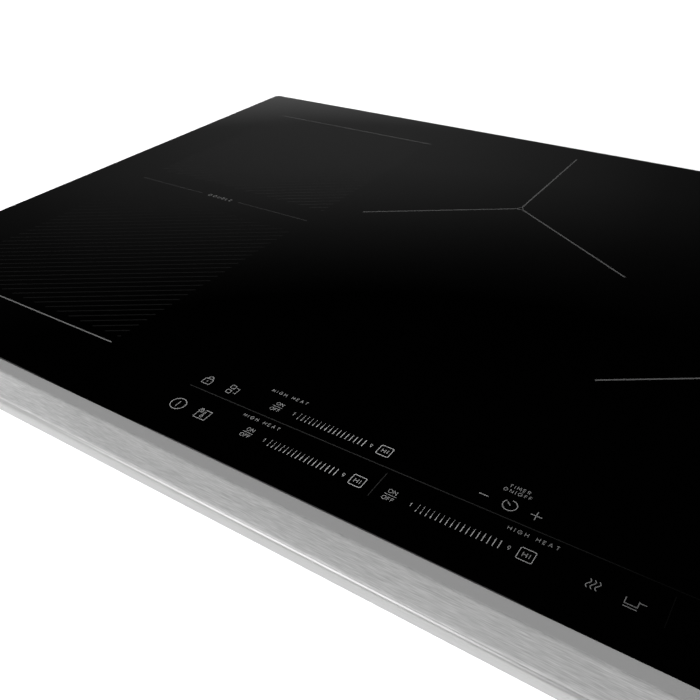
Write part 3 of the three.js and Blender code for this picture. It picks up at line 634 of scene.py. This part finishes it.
# Touch controls, in mm on the glass.
PANEL_X0, PANEL_X1, DIVIDER_Y = 306.8, 682.0, 40.6
SEPARATORS_X = (439.6, 577.0)
SEPARATOR_Y0, SEPARATOR_Y1 = 19.4, 37.2
ROW_LOW_Y, ROW_HIGH_Y = 24.7, 50.2
# Each slider: the x of its on/off mark, the y of its row, and where its boost words are centred.
SLIDERS = (
    (361.7, ROW_LOW_Y, 362.3),
    (361.7, ROW_HIGH_Y, 362.2),
    (448.6, ROW_LOW_Y, 515.8),
    (599.2, ROW_LOW_Y, 599.9),
    (599.2, ROW_HIGH_Y, 599.9),
)
POWER_SIGN = (313.1, 24.1)
LOCK_SIGN = (312.7, 48.9)
LINKED_ZONES_SIGN = (329.3, 49.65)
LOCKED_HEAT_SIGN = (331.2, 23.9)
TIMER_SIGN = (498.9, 48.9)
TIMER_WORD = (498.7, 61.2)
TIMER_SWITCH_WORD = (498.8, 57.9)
MINUS_SIGN = (485.7, 48.9)
PLUS_SIGN = (511.8, 49.0)
HEAT_SIGN = (546.6, 25.1)
PAN_SIGN = (563.0, 24.6)

# The parts of a slider, in mm from its on/off mark and its row.
TICK_COUNT = 17
TICKS_X, TICKS_LENGTH = 15.1, 41.1
TICK_LOW, TICK_HIGH = -2.6, 2.5
TICK_THIN, TICK_BROAD = 0.14, 0.39
TICK_TIP = 0.1  # how far the fine line stands above the tallest foot
SHOULDER_LOW, SHOULDER_HIGH = -0.2, 0.4  # where a foot narrows, from the foot's own height
FIRST_FOOT = 0.18  # the first foot's share of its tick; the last foot is a whole tick
BOX_X, BOX_WIDTH, BOX_LOW, BOX_HIGH = 64.9, 7.2, -3.2, 3.8
# Letters, their centre, and their height, width and stroke.
SLIDER_WORDS = (
    ("ON", 0, 2.9, 2.3, 4.5, 0.25),
    ("OFF", 0, -2.2, 2.3, 5.9, 0.25),
    ("1", 11.1, 0.2, 2.3, 0, 0.34),
    ("9", 60.4, 0.2, 2.3, 0, 0.32),
    ("HI", 68.5, 0.3, 2.6, 3.2, 0.34),
)
BOOST_WORDS_RISE = 11.2
SWITCH_LINE_RISE, SWITCH_LINE_REACH = 0.4, 3.2  # the line between ON and OFF


def print_panel_lines(material):
    """One line between the two rows, and short ones between the sliders of the low row."""
    marks = Print()
    marks.line([(PANEL_X0, DIVIDER_Y), (PANEL_X1, DIVIDER_Y)], width=0.45)
    for x in SEPARATORS_X:
        marks.line([(x, SEPARATOR_Y0), (x, SEPARATOR_Y1)], width=0.35)
    marks.done("panel_lines", material)


def draw_tick(marks, x, low, high, share):
    """A fine line that stands on a broad foot, which takes a share of the tick's height."""
    foot = low + (high - low) * share
    side = (
        (TICK_BROAD / 2, low),
        (TICK_BROAD / 2, foot + SHOULDER_LOW),
        (TICK_THIN / 2, min(high, foot + SHOULDER_HIGH)),
        (TICK_THIN / 2, high + TICK_TIP),
    )
    right = [(x + reach, y) for reach, y in side]
    left = [(x - reach, y) for reach, y in side]
    marks.shape([*right, *reversed(left)])


def print_sliders(material):
    """A row of ticks per slider, each with a taller foot than the last one's, then a boost box."""
    marks = Print()
    for x, y, _ in SLIDERS:
        for i in range(TICK_COUNT):
            along = i / (TICK_COUNT - 1)
            tick_x = x + TICKS_X + TICKS_LENGTH * along
            draw_tick(marks, tick_x, y + TICK_LOW, y + TICK_HIGH, FIRST_FOOT + (1 - FIRST_FOOT) * along)
        box_x = x + BOX_X
        marks.rounded_box(box_x, y + BOX_LOW, box_x + BOX_WIDTH, y + BOX_HIGH, corner=0.8, width=0.34)
    marks.done("slider_marks", material)


def print_words(material):
    """The words and digits of the sliders and the timer."""
    marks = Print()
    for x, y, words_x in SLIDERS:
        for letters, right, up, *form in SLIDER_WORDS:
            marks.word(letters, x + right, y + up, *form)
        line_y = y + SWITCH_LINE_RISE
        marks.line([(x - SWITCH_LINE_REACH, line_y), (x + SWITCH_LINE_REACH, line_y)], width=0.26)
        marks.word("HIGH HEAT", words_x, y + BOOST_WORDS_RISE, height=2.1, width=24.0, stroke=0.24)
    marks.word("TIMER", *TIMER_WORD, height=2.0, width=10.2, stroke=0.24)
    marks.word("ON|OFF", *TIMER_SWITCH_WORD, height=2.0, width=13.8, stroke=0.24)
    marks.done("control_words", material)


def print_double_word(material):
    marks = Print()
    marks.word("DOUBLE", DOUBLE_WORD_X, DOUBLE_MIDDLE_Y, height=3.2, width=24.6, stroke=0.8)
    marks.done("double_zone_word", material)


def draw_power(marks, x, y):
    """A ring with an upright bar."""
    marks.circle(x, y, 4.6, 0.45)
    marks.line([(x, y - 2.4), (x, y + 2.3)], 0.42)


def draw_lock(marks, x, y, size):
    """A closed padlock: a body, a shackle and a keyhole."""
    half = size / 2
    top = y + 0.3 * size
    marks.rounded_box(x - half, y - 0.5 * size, x + half, top, 0.14 * size, 0.36)
    reach = 0.27 * size
    shackle = [(x - reach, top), *arc(x, top + 0.14 * size, reach, 180, 0, 10), (x + reach, top)]
    marks.line(shackle, 0.36)
    marks.line([(x, y - 0.22 * size), (x, y + 0.04 * size)], 0.36)


def draw_linked_zones(marks, x, y):
    """Two small squares, one behind the other, joined by a bracket on their right."""
    rise, half = 2.25, 1.45
    for middle in (y + rise, y - rise):
        marks.rounded_box(x - half, middle - 1.4, x + half, middle + 1.4, 0.4, 0.32)
    bracket = [(x + 2.6, y + rise), (x + 4.7, y + rise), (x + 4.7, y - rise), (x + 3.1, y - rise)]
    marks.line(bracket, 0.32)


def draw_locked_heat(marks, x, y):
    """A panel with a small lock on its left corner and a thermometer on it."""
    marks.line([
        (x - 0.6, y + 3.8), (x + 3.7, y + 3.8), (x + 3.7, y - 3.6),
        (x - 3.8, y - 3.6), (x - 3.8, y + 1.2),
    ], 0.38)
    draw_lock(marks, x - 2.9, y + 2.5, 2.4)
    marks.line([(x - 0.3, y - 0.8), (x - 0.3, y + 2.5), (x + 0.5, y + 2.5), (x + 0.5, y - 0.8)], 0.26)
    marks.circle(x + 0.1, y - 1.5, 0.8, 0.32, 16)


def draw_timer(marks, x, y):
    """An open ring with one hand."""
    marks.line(arc(x, y, 3.46, 134, 450, 36), 0.42)
    marks.line([(x, y), (x - 1.8, y + 1.7)], 0.42)


def draw_minus(marks, x, y, half=2.4):
    marks.line([(x - half, y), (x + half, y)], 0.42)


def draw_plus(marks, x, y, half=2.7):
    draw_minus(marks, x, y, half)
    marks.line([(x, y - half), (x, y + half)], 0.42)


def draw_heat(marks, x, y):
    """Three rising waves."""
    steps, rise = 12, 5.4
    for wave_x in (x - 2, x, x + 2):
        marks.line([
            (wave_x - 0.8 * math.sin(2 * math.pi * i / steps), y + rise * (i / steps - 0.5))
            for i in range(steps + 1)
        ], 0.4)


def draw_pan(marks, x, y):
    """A saucepan in side view over a line."""
    marks.line([(x - 3, y + 2), (x - 3, y - 1.4), (x + 2.4, y - 1.4), (x + 2.4, y + 2)], 0.4)
    marks.line([(x + 2.4, y + 1.4), (x + 5.4, y + 1.4)], 0.4)
    marks.line([(x - 3.2, y - 3), (x + 2.6, y - 3)], 0.4)


def print_icons(material):
    marks = Print()
    draw_power(marks, *POWER_SIGN)
    draw_lock(marks, *LOCK_SIGN, size=5.8)
    draw_linked_zones(marks, *LINKED_ZONES_SIGN)
    draw_locked_heat(marks, *LOCKED_HEAT_SIGN)
    draw_timer(marks, *TIMER_SIGN)
    draw_minus(marks, *MINUS_SIGN)
    draw_plus(marks, *PLUS_SIGN)
    draw_heat(marks, *HEAT_SIGN)
    draw_pan(marks, *PAN_SIGN)
    marks.done("control_icons", material)


# ---------------------------------------------------------------- glass and trim

GLASS_CORNER = 5 * MM
GLASS_FRONT_CORNER = 0.6 * MM
GLASS_EDGE = 0.8 * MM  # ground and polished edge


def rounded_plate_ring(inset, z):
    """The plate's outline moved inwards; its front corners are nearly square."""
    x0, x1 = glass_low.x + inset, glass_high.x - inset
    y0, y1 = glass_low.y + inset, glass_high.y - inset
    corners = (
        (x1, y0, GLASS_FRONT_CORNER, 270, -1, 1),
        (x1, y1, GLASS_CORNER, 0, -1, -1),
        (x0, y1, GLASS_CORNER, 90, 1, -1),
        (x0, y0, GLASS_FRONT_CORNER, 180, 1, 1),
    )
    points = []
    for x, y, radius, start, side_x, side_y in corners:
        points += arc(x + side_x * radius, y + side_y * radius, radius, start, start + 90, 8)
    return [(*point, z) for point in points]


def make_glass(material):
    """A plate whose edge is a quarter round above and below, as ground glass is."""
    bm = bmesh.new()
    steps = 5
    profile = []
    for i in range(steps + 1):
        angle = math.pi / 2 * i / steps
        z = glass_low.z + GLASS_EDGE * (1 - math.cos(angle))
        profile.append((GLASS_EDGE * (1 - math.sin(angle)), z))
    profile += [(inset, glass_low.z + glass_high.z - z) for inset, z in reversed(profile)]
    add_skin(bm, [[bm.verts.new(point) for point in rounded_plate_ring(*level)] for level in profile])
    plate = piece("glass_plate", bm, material, smooth=True)
    sharpen(plate, 30)
    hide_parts("glass_top")


FILLET_HOLD = 0.1 * MM  # a point this far beyond each fillet keeps the flats' shading flat


def filleted(outline, steps=8):
    """The outline with each corner that has a third value, its radius, turned into an arc."""
    points = []
    for i, (u, v, *radius) in enumerate(outline):
        if not radius:
            points.append((u, v))
            continue
        here = Vector((u, v))
        back = (Vector(outline[i - 1][:2]) - here).normalized()
        onward = (Vector(outline[(i + 1) % len(outline)][:2]) - here).normalized()
        half = back.angle(onward) / 2
        reach = radius[0] / math.tan(half)
        centre = here + (back + onward).normalized() * (radius[0] / math.sin(half))
        start = here + back * reach - centre
        end = here + onward * reach - centre
        first = math.atan2(start.y, start.x)
        sweep = (math.atan2(end.y, end.x) - first + math.pi) % (2 * math.pi) - math.pi
        points.append(tuple(here + back * (reach + FILLET_HOLD)))
        for step in range(steps + 1):
            angle = first + sweep * step / steps
            points.append((centre.x + radius[0] * math.cos(angle), centre.y + radius[0] * math.sin(angle)))
        points.append(tuple(here + onward * (reach + FILLET_HOLD)))
    return points


def add_extrusion(bm, outline, x0, x1, ring_count=1):
    """A closed bar along X with an outline of (y, z) points."""
    rings = []
    for i in range(ring_count + 1):
        x = x0 + (x1 - x0) * i / ring_count
        rings.append([bm.verts.new((x, y, z)) for y, z in outline])
    add_skin(bm, rings)


# The trim's section: a flat band beside the glass, a face that falls away, and a lip.
TRIM_BAND = 8.2 * MM
TRIM_FALL = 5.0 * MM
TRIM_LIP = 1.6 * MM
TRIM_WEB = 5.0 * MM
TRIM_GAP = 0.3 * MM
TRIM_CREST_RADIUS = 6.0 * MM
TRIM_BEND_RADIUS = 4.0 * MM
TRIM_EDGE_RADIUS = 0.2 * MM
TRIM_ROLLED_RISE = 0.25 * MM  # how far the rolled finish climbs above the bend's corner


def trim_section():
    """Outline in (y, z), from the glass side over the top to the lip."""
    back, front = glass_low.y - TRIM_GAP, trim_low.y
    top, foot = glass_high.z, trim_low.z
    web = foot + TRIM_WEB
    return [
        (back, web),
        (back, top, TRIM_EDGE_RADIUS),
        (glass_low.y - TRIM_BAND, top, TRIM_CREST_RADIUS),
        (front, top - TRIM_FALL, TRIM_BEND_RADIUS),
        (front, foot, TRIM_EDGE_RADIUS),
        (front + TRIM_LIP, foot, TRIM_EDGE_RADIUS),
        (front + TRIM_LIP, web),
    ]


def paint_trim(obj, rolled):
    """The bend and everything below it take the rolled finish."""
    obj.data.materials.append(rolled)
    limit = glass_high.z - TRIM_FALL + TRIM_ROLLED_RISE
    for polygon in obj.data.polygons:
        polygon.use_smooth = True
        if polygon.center.z < limit:
            polygon.material_index = 1
    sharpen(obj, 35)


def make_trim(brushed, rolled):
    """The long trim and its tongue under the glass, with a cap on each end."""
    section = filleted(trim_section())
    bm = bmesh.new()
    add_extrusion(bm, section, trim_low.x, trim_high.x, 6)
    back, web = glass_low.y - TRIM_GAP, trim_low.z + TRIM_WEB
    tongue = [
        (back - TRIM_LIP, web),
        (trim_high.y, web),
        (trim_high.y, glass_low.z - TRIM_GAP),
        (back - TRIM_LIP, glass_low.z - TRIM_GAP),
    ]
    add_extrusion(bm, tongue, trim_low.x, trim_high.x)
    bar = piece("front_trim_bar", bm, brushed)
    paint_trim(bar, rolled)
    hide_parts("front_trim")
    for side in ("left", "right"):
        node = f"trim_end_cap_{side}"
        low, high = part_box(node)
        cap_x = (low.x, trim_low.x - TRIM_GAP) if side == "left" else (trim_high.x + TRIM_GAP, high.x)
        bm = bmesh.new()
        add_extrusion(bm, section, *cap_x)
        cap = piece(f"trim_cap_{side}", bm, brushed)
        paint_trim(cap, rolled)
        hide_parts(node)


# ---------------------------------------------------------------- springs and windings

COILS = ("left_front", "left_rear", "centre", "right_front", "right_rear")
SPRING_SHEET = 0.9 * MM
SPRING_STEPS = 24


def make_springs(material):
    """Leaf springs: one arched sheet for each coil, highest in its middle."""
    for name in COILS:
        low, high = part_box(f"coil_spring_{name}")
        half = (high.y - low.y) / 2
        middle_y = (high.y + low.y) / 2
        rise = high.z - low.z - SPRING_SHEET
        stations = [-half + 2 * half * i / SPRING_STEPS for i in range(SPRING_STEPS + 1)]
        lower = [(middle_y + v, low.z + rise * math.cos(math.pi / 2 * v / half) ** 2) for v in stations]
        upper = [(y, z + SPRING_SHEET) for y, z in reversed(lower)]
        bm = bmesh.new()
        add_extrusion(bm, [*lower, *upper], low.x, high.x)
        spring = piece(f"leaf_spring_{name}", bm, material, smooth=True)
        sharpen(spring, 40)
        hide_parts(f"coil_spring_{name}")
        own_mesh(spring)


WIRE_RADIUS = 1.9 * MM
WIRE_PITCH = 4.1 * MM
WIRE_SIDES = 8
WIRE_TALLNESS = 1.2  # the wire's height over its width
WINDING_EYE = 22 * MM  # radius of the opening in the winding
STEPS_PER_TURN = 48


def make_windings(material):
    """A flat spiral of stranded wire in each coil, from its inner end to its outer end."""
    for name in COILS:
        low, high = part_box(f"coil_winding_{name}")
        middle = (low + high) / 2
        inner = WINDING_EYE + WIRE_RADIUS
        outer = (high.x - low.x) / 2 - WIRE_RADIUS
        turns = (outer - inner) / WIRE_PITCH
        steps = int(turns * STEPS_PER_TURN)
        bm = bmesh.new()
        rings = []
        for i in range(steps + 1):
            angle = 2 * math.pi * turns * i / steps
            radius = inner + (outer - inner) * i / steps
            outward = Vector((math.cos(angle), math.sin(angle), 0))
            centre = middle + outward * radius
            ring = []
            for k in range(WIRE_SIDES):
                turn = 2 * math.pi * k / WIRE_SIDES
                offset = outward * math.cos(turn) + Vector((0, 0, WIRE_TALLNESS * math.sin(turn)))
                ring.append(bm.verts.new(centre + offset * WIRE_RADIUS))
            rings.append(ring)
        add_skin(bm, rings)
        wire = piece(f"spiral_winding_{name}", bm, material, f"coil_{name}", smooth=True)
        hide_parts(f"coil_winding_{name}")


# ---------------------------------------------------------------- screws

CLAMPS = ("left_front", "left_rear", "right_front", "right_rear")
THREAD_RADIUS = 2.5 * MM
THREAD_DEPTH = 0.4 * MM
THREAD_PITCH = 1.0 * MM
THREAD_STEPS = 4  # rings in one pitch
HEAD_HEIGHT = 4.0 * MM
HEAD_FACE = 0.84  # radius of the head's flat faces over the radius of its corners
PAD_HEIGHT = 3.0 * MM
CHAMFER = 0.6 * MM


def add_turned(bm, rings, sides=24, place=Matrix.Identity(4), hollow=False):
    """A body about its own Z; each ring is (z, the radius as a function of the angle).

    A hollow body joins its last ring to its first, and the others are capped at both ends.
    """
    angles = [2 * math.pi * k / sides for k in range(sides)]
    made = []
    for z, radius_at in rings:
        points = [(radius_at(a) * math.cos(a), radius_at(a) * math.sin(a), z) for a in angles]
        made.append([bm.verts.new(place @ Vector(point)) for point in points])
    if hollow:
        made.append(made[0])
    add_skin(bm, made, capped=not hollow)


def circle_of(radius):
    return lambda angle: radius


def hexagon_of(radius):
    """A hexagon with its corners at the radius."""
    flat = radius * math.cos(math.pi / 6)
    return lambda angle: flat / math.cos(angle % (math.pi / 3) - math.pi / 6)


def thread_at(z):
    """The thread's edge on the level z: a ridge that climbs one pitch in each turn."""
    def radius_at(angle):
        phase = (z / THREAD_PITCH - angle / (2 * math.pi)) % 1
        return THREAD_RADIUS - THREAD_DEPTH * abs(2 * phase - 1)
    return radius_at


def hexagon_rings(foot, top, radius, face):
    """A hexagon between two levels, chamfered to its round faces."""
    return [
        (foot, circle_of(face * radius)),
        (foot + CHAMFER, hexagon_of(radius)),
        (top - CHAMFER, hexagon_of(radius)),
        (top, circle_of(face * radius)),
    ]


def make_clamp_screws(material):
    """A hexagon head, a threaded shank and a round pad that bears on the worktop."""
    core = circle_of(THREAD_RADIUS - THREAD_DEPTH)
    for name in CLAMPS:
        low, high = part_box(f"clamp_screw_{name}")
        radius = (high.x - low.x) / 2
        shank_foot, shank_top = low.z + HEAD_HEIGHT, high.z - PAD_HEIGHT
        length = shank_top - shank_foot
        steps = int(length / THREAD_PITCH * THREAD_STEPS)
        levels = [shank_foot + length * i / steps for i in range(1, steps)]
        rings = [
            *hexagon_rings(low.z, shank_foot, radius, HEAD_FACE),
            (shank_foot, core),
            *((z, thread_at(z)) for z in levels),
            (shank_top, core),
            (shank_top, circle_of(radius - CHAMFER)),
            (shank_top + CHAMFER, circle_of(radius)),
            (high.z - CHAMFER, circle_of(radius)),
            (high.z, circle_of(radius - CHAMFER)),
        ]
        middle = (low + high) / 2
        bm = bmesh.new()
        add_turned(bm, rings, place=Matrix.Translation((middle.x, middle.y, 0)))
        screw = piece(f"threaded_screw_{name}", bm, material, f"screw_{name}", smooth=True)
        sharpen(screw, 25)
        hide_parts(f"clamp_screw_{name}")


CASE_HALF_WIDTH = 430.5 * MM
CASE_REAR_Y = glass_high.y - 26 * MM
CASE_SCREW_RADIUS = 3.4 * MM
CASE_SCREW_RIM = 0.3 * MM
CASE_SCREW_DOME = 1.5 * MM
CASE_SCREW_SOCKET = 1.3 * MM
CASE_SCREW_Z = 14 * MM
CASE_SCREW_SIDE_Y = (-0.205, -0.07, 0.07, 0.215)
CASE_SCREW_REAR_X = (-0.40, -0.24, -0.08, 0.08, 0.24)


def make_case_screws(material):
    """Domed self-tapping screws with a socket, along the foot of the box's sides and rear."""
    spots = [(x, CASE_REAR_Y, 180) for x in CASE_SCREW_REAR_X]
    for y in CASE_SCREW_SIDE_Y:
        spots += [(CASE_HALF_WIDTH, y, 90), (-CASE_HALF_WIDTH, y, -90)]
    rings = [(-CASE_SCREW_RIM, circle_of(CASE_SCREW_RADIUS)), (CASE_SCREW_RIM, circle_of(CASE_SCREW_RADIUS))]
    for degrees in (25, 45, 65):
        angle = math.radians(degrees)
        z = CASE_SCREW_RIM + (CASE_SCREW_DOME - CASE_SCREW_RIM) * math.sin(angle)
        rings.append((z, circle_of(CASE_SCREW_RADIUS * math.cos(angle))))
    rings.append((CASE_SCREW_DOME, hexagon_of(CASE_SCREW_SOCKET)))
    rings.append((CASE_SCREW_RIM, hexagon_of(CASE_SCREW_SOCKET)))
    bm = bmesh.new()
    for x, y, turn in spots:
        outwards = Matrix.Rotation(math.radians(turn), 4, "Z") @ Matrix.Rotation(math.radians(90), 4, "X")
        add_turned(bm, rings, place=Matrix.Translation((x, y, CASE_SCREW_Z)) @ outwards)
    screws = piece("case_screws", bm, material, smooth=True)
    sharpen(screws, 35)


# ---------------------------------------------------------------- conduit connector

# Radii, and levels from the tail's inner end towards the rear.
CONNECTOR_BORE, CONNECTOR_TAIL, CONNECTOR_BARREL = 9 * MM, 11 * MM, 13 * MM
CONNECTOR_SHOULDER = 16 * MM
CONNECTOR_FACE = 0.86  # radius of the shoulder's flat faces over the radius of its corners
TAIL_TOP = 14 * MM
TAIL_RIDGES = 7
SHOULDER_FOOT, SHOULDER_TOP = 14.3 * MM, 20 * MM
BARREL_RIBS = 3


def tail_rings():
    """The threaded tail, as ridges with half a pitch more at its inner end."""
    pitch = TAIL_TOP / (TAIL_RIDGES + 0.5)
    groove = circle_of(CONNECTOR_TAIL - CHAMFER)
    rings = [(0, circle_of(CONNECTOR_BORE)), (0, groove)]
    for i in range(TAIL_RIDGES):
        rings.append((pitch * (i + 0.5), circle_of(CONNECTOR_TAIL)))
        rings.append((pitch * (i + 1), groove))
    rings.append((SHOULDER_FOOT, groove))
    return rings


def barrel_rings(end):
    """A barrel with low ribs round it and a rolled rim at its outer end."""
    groove = circle_of(CONNECTOR_BARREL - CHAMFER)
    rib = circle_of(CONNECTOR_BARREL - CHAMFER / 2)
    rings = [(SHOULDER_TOP, groove)]
    for i in range(BARREL_RIBS):
        z = SHOULDER_TOP + (end - SHOULDER_TOP) * (i + 0.4) / (BARREL_RIBS + 0.4)
        rings += [(z - 1.2 * MM, groove), (z, rib), (z + 2.4 * MM, rib), (z + 3.2 * MM, groove)]
    return rings + [
        (end - 2.4 * MM, groove),
        (end - 1.8 * MM, circle_of(CONNECTOR_BARREL)),
        (end - CHAMFER, circle_of(CONNECTOR_BARREL)),
        (end, groove),
        (end, circle_of(CONNECTOR_BORE)),
    ]


def make_conduit_connector(material):
    """A threaded tail, a hexagon shoulder and a ribbed barrel, open right through."""
    low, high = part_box("conduit_connector")
    middle = (low + high) / 2
    shoulder = hexagon_rings(SHOULDER_FOOT, SHOULDER_TOP, CONNECTOR_SHOULDER, CONNECTOR_FACE)
    rings = [*tail_rings(), *shoulder, *barrel_rings(high.y - low.y)]
    towards_rear = Matrix.Rotation(math.radians(-90), 4, "X")
    place = Matrix.Translation((middle.x, low.y, middle.z)) @ towards_rear
    bm = bmesh.new()
    add_turned(bm, rings, sides=48, place=place, hollow=True)
    connector = piece("ribbed_connector", bm, material, smooth=True)
    sharpen(connector, 25)
    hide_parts("conduit_connector")


# ---------------------------------------------------------------- studio

FLOOR_REACH = 9.0
FLOOR_GAP = 0.2 * MM  # keeps the floor clear of the box's base
LIT_POINT = Vector((0, 0, 0.08))


def add_area(name, place, size, power):
    """A rectangular softbox that faces the cooktop."""
    data = bpy.data.lights.new(name, "AREA")
    data.shape = "RECTANGLE"
    data.size, data.size_y = size
    data.energy = power
    light = bpy.data.objects.new(name, data)
    light.location = place
    light.rotation_euler = (LIT_POINT - Vector(place)).to_track_quat("-Z", "Y").to_euler()
    bpy.context.scene.collection.objects.link(light)


def add_floor():
    bm = bmesh.new()
    bmesh.ops.create_grid(bm, x_segments=2, y_segments=2, size=FLOOR_REACH)
    mesh = bpy.data.meshes.new("floor")
    bm.to_mesh(mesh)
    bm.free()
    floor = bpy.data.objects.new("floor", mesh)
    floor.location = (0, 0, cad_low.z - FLOOR_GAP)
    look = Shader("pale_floor")
    look.colour(look.noise(3.0), (0.3, grey(0.88)), (0.7, grey(0.90)))
    look.set(Roughness=0.9, Specular_IOR_Level=0.1)
    mesh.materials.append(look.material)
    bpy.context.scene.collection.objects.link(floor)


# The room that the glass and the metal mirror: a pale band along the horizon all round, and a
# broad soft glow behind the cooktop to the left. Each stop is (sine of the elevation, value).
HORIZON_BAND = ((0.0, 0.45), (0.10, 0.32), (0.22, 0.0))
GLOW_HEIGHT = ((0.0, 0.05), (0.30, 0.096), (0.35, 0.078), (0.41, 0.041), (0.46, 0.0165), (0.50, 0.0))
# Share of the glow by the cosine of the angle from its middle, seen from above.
GLOW_WIDTH = ((0.60, 0.0), (0.85, 0.12), (0.914, 0.32), (0.97, 0.68), (1.0, 1.0))
GLOW_TOWARDS = (-0.574, 0.819, 0.0)


def add_world():
    """White to the eye; to everything else a dim room with a pale horizon and one soft glow."""
    world = bpy.data.worlds.new("studio")
    bpy.context.scene.world = world
    world.use_nodes = True
    sky = Nodes(world.node_tree)

    def greys(source, stops):
        return sky.ramp(source, *((position, grey(value)) for position, value in stops))

    direction = sky.node("ShaderNodeTexCoord").outputs["Generated"]
    split = sky.node("ShaderNodeSeparateXYZ")
    sky.link(direction, split.inputs["Vector"])
    height = split.outputs["Z"]
    level = sky.node("ShaderNodeVectorMath", operation="MULTIPLY")
    level.inputs[1].default_value = (1, 1, 0)
    sky.link(direction, level.inputs[0])
    heading = sky.node("ShaderNodeVectorMath", operation="NORMALIZE")
    sky.link(level.outputs["Vector"], heading.inputs[0])
    facing = sky.node("ShaderNodeVectorMath", operation="DOT_PRODUCT")
    facing.inputs[1].default_value = GLOW_TOWARDS
    sky.link(heading.outputs["Vector"], facing.inputs[0])
    glow = sky.math("MULTIPLY", greys(height, GLOW_HEIGHT), greys(facing.outputs["Value"], GLOW_WIDTH))
    total = sky.math("ADD", glow, greys(height, HORIZON_BAND))

    path = sky.node("ShaderNodeLightPath")
    room, seen = sky.node("ShaderNodeBackground"), sky.node("ShaderNodeBackground")
    mix, output = sky.node("ShaderNodeMixShader"), sky.node("ShaderNodeOutputWorld")
    seen.inputs["Color"].default_value = (*grey(1.0), 1)
    sky.link(total, room.inputs["Color"])
    sky.link(path.outputs["Is Camera Ray"], mix.inputs["Fac"])
    sky.link(room.outputs["Background"], mix.inputs[1])
    sky.link(seen.outputs["Background"], mix.inputs[2])
    sky.link(mix.outputs["Shader"], output.inputs["Surface"])


def add_sun(name, towards, strength, spread):
    """Broad, even light that isn't mirrored in the glass."""
    data = bpy.data.lights.new(name, "SUN")
    data.energy = strength
    data.angle = math.radians(spread)
    sun = bpy.data.objects.new(name, data)
    sun.rotation_euler = Vector(towards).to_track_quat("Z", "Y").to_euler()
    sun.visible_glossy = False
    bpy.context.scene.collection.objects.link(sun)


def add_studio():
    """The lights stand in front of the cooktop and to its left, as their reflections show."""
    add_world()
    add_floor()
    add_sun("front_fill", (-0.35, -0.80, 0.40), 7.5, 50)
    add_sun("top_fill", (0.2, -0.2, 0.95), 0.9, 60)
    add_area("front_softbox", (-1.1, -2.1, 1.25), (1.5, 0.9), 16)
    add_area("left_softbox", (-2.3, -0.5, 1.2), (1.2, 0.9), 4)
    add_area("low_left_softbox", (-2.3, -1.0, 0.72), (1.2, 0.5), 5)
    bpy.context.scene.view_settings.view_transform = "Standard"


# ---------------------------------------------------------------- build

add_camera()

NODE_MATERIALS = {
    "galvanised_sheet": galvanised_sheet(),
    "foam": foam_strip(),
    "aluminium_sheet": sheet_aluminium(),
    "litz_winding": enamelled_wire(),
    "mica": mica_sheet(),
    "black_plastic": moulded_plastic("black_moulded_plastic", grey(0.012), grey(0.022)),
    "pale_plastic": moulded_plastic("pale_moulded_plastic", (0.62, 0.60, 0.54), (0.72, 0.70, 0.64)),
    "circuit_board": circuit_board(),
    "spring_steel": plated_steel("blued_spring_steel", (0.16, 0.17, 0.20), (0.30, 0.31, 0.34), 0.25, 0.4),
    "zinc_steel": plated_steel("zinc_plated_steel", (0.50, 0.51, 0.52), (0.66, 0.67, 0.68), 0.26, 0.4),
    "black_glass": black_glass(),
    "trim_metal": brushed_trim(glass_low.y - TRIM_BAND),
}

for entry in frame["record"]["subparts"]:
    mesh = nodes[entry["node"]].data
    mesh.materials.clear()
    mesh.materials.append(NODE_MATERIALS[entry["material_slot"]])

make_glass(NODE_MATERIALS["black_glass"])
make_trim(NODE_MATERIALS["trim_metal"], rolled=polished_trim())
make_springs(NODE_MATERIALS["spring_steel"])
make_windings(NODE_MATERIALS["litz_winding"])
make_clamp_screws(NODE_MATERIALS["zinc_steel"])
make_case_screws(NODE_MATERIALS["zinc_steel"])
make_conduit_connector(NODE_MATERIALS["zinc_steel"])
# The marks take copies of one white ink at different values. The front, middle and rear copies in the double
# zone, and each shaded share towards the right, are painted light and shade.
print_hatching(
    front_ink=printed_ink("front_hatching_ink", 0.0046),
    rear_ink=printed_ink("rear_hatching_ink", 0.011),
)
print_double_zone(
    front_ink=printed_ink("front_line_ink", 0.11),
    middle_ink=printed_ink("middle_line_ink", 0.022),
    rear_ink=printed_ink("rear_line_ink", 0.06),
)
print_single_zones(printed_ink("zone_ink", 0.06))
print_panel_lines(printed_ink("panel_ink", 0.018, shaded_share=0.10))
print_sliders(printed_ink("slider_ink", 0.32, shaded_share=0.28))
print_words(printed_ink("word_ink", 0.23, shaded_share=0.28))
print_double_word(printed_ink("double_ink", 0.075))
print_icons(printed_ink("icon_ink", 0.22, shaded_share=0.35))

add_studio()
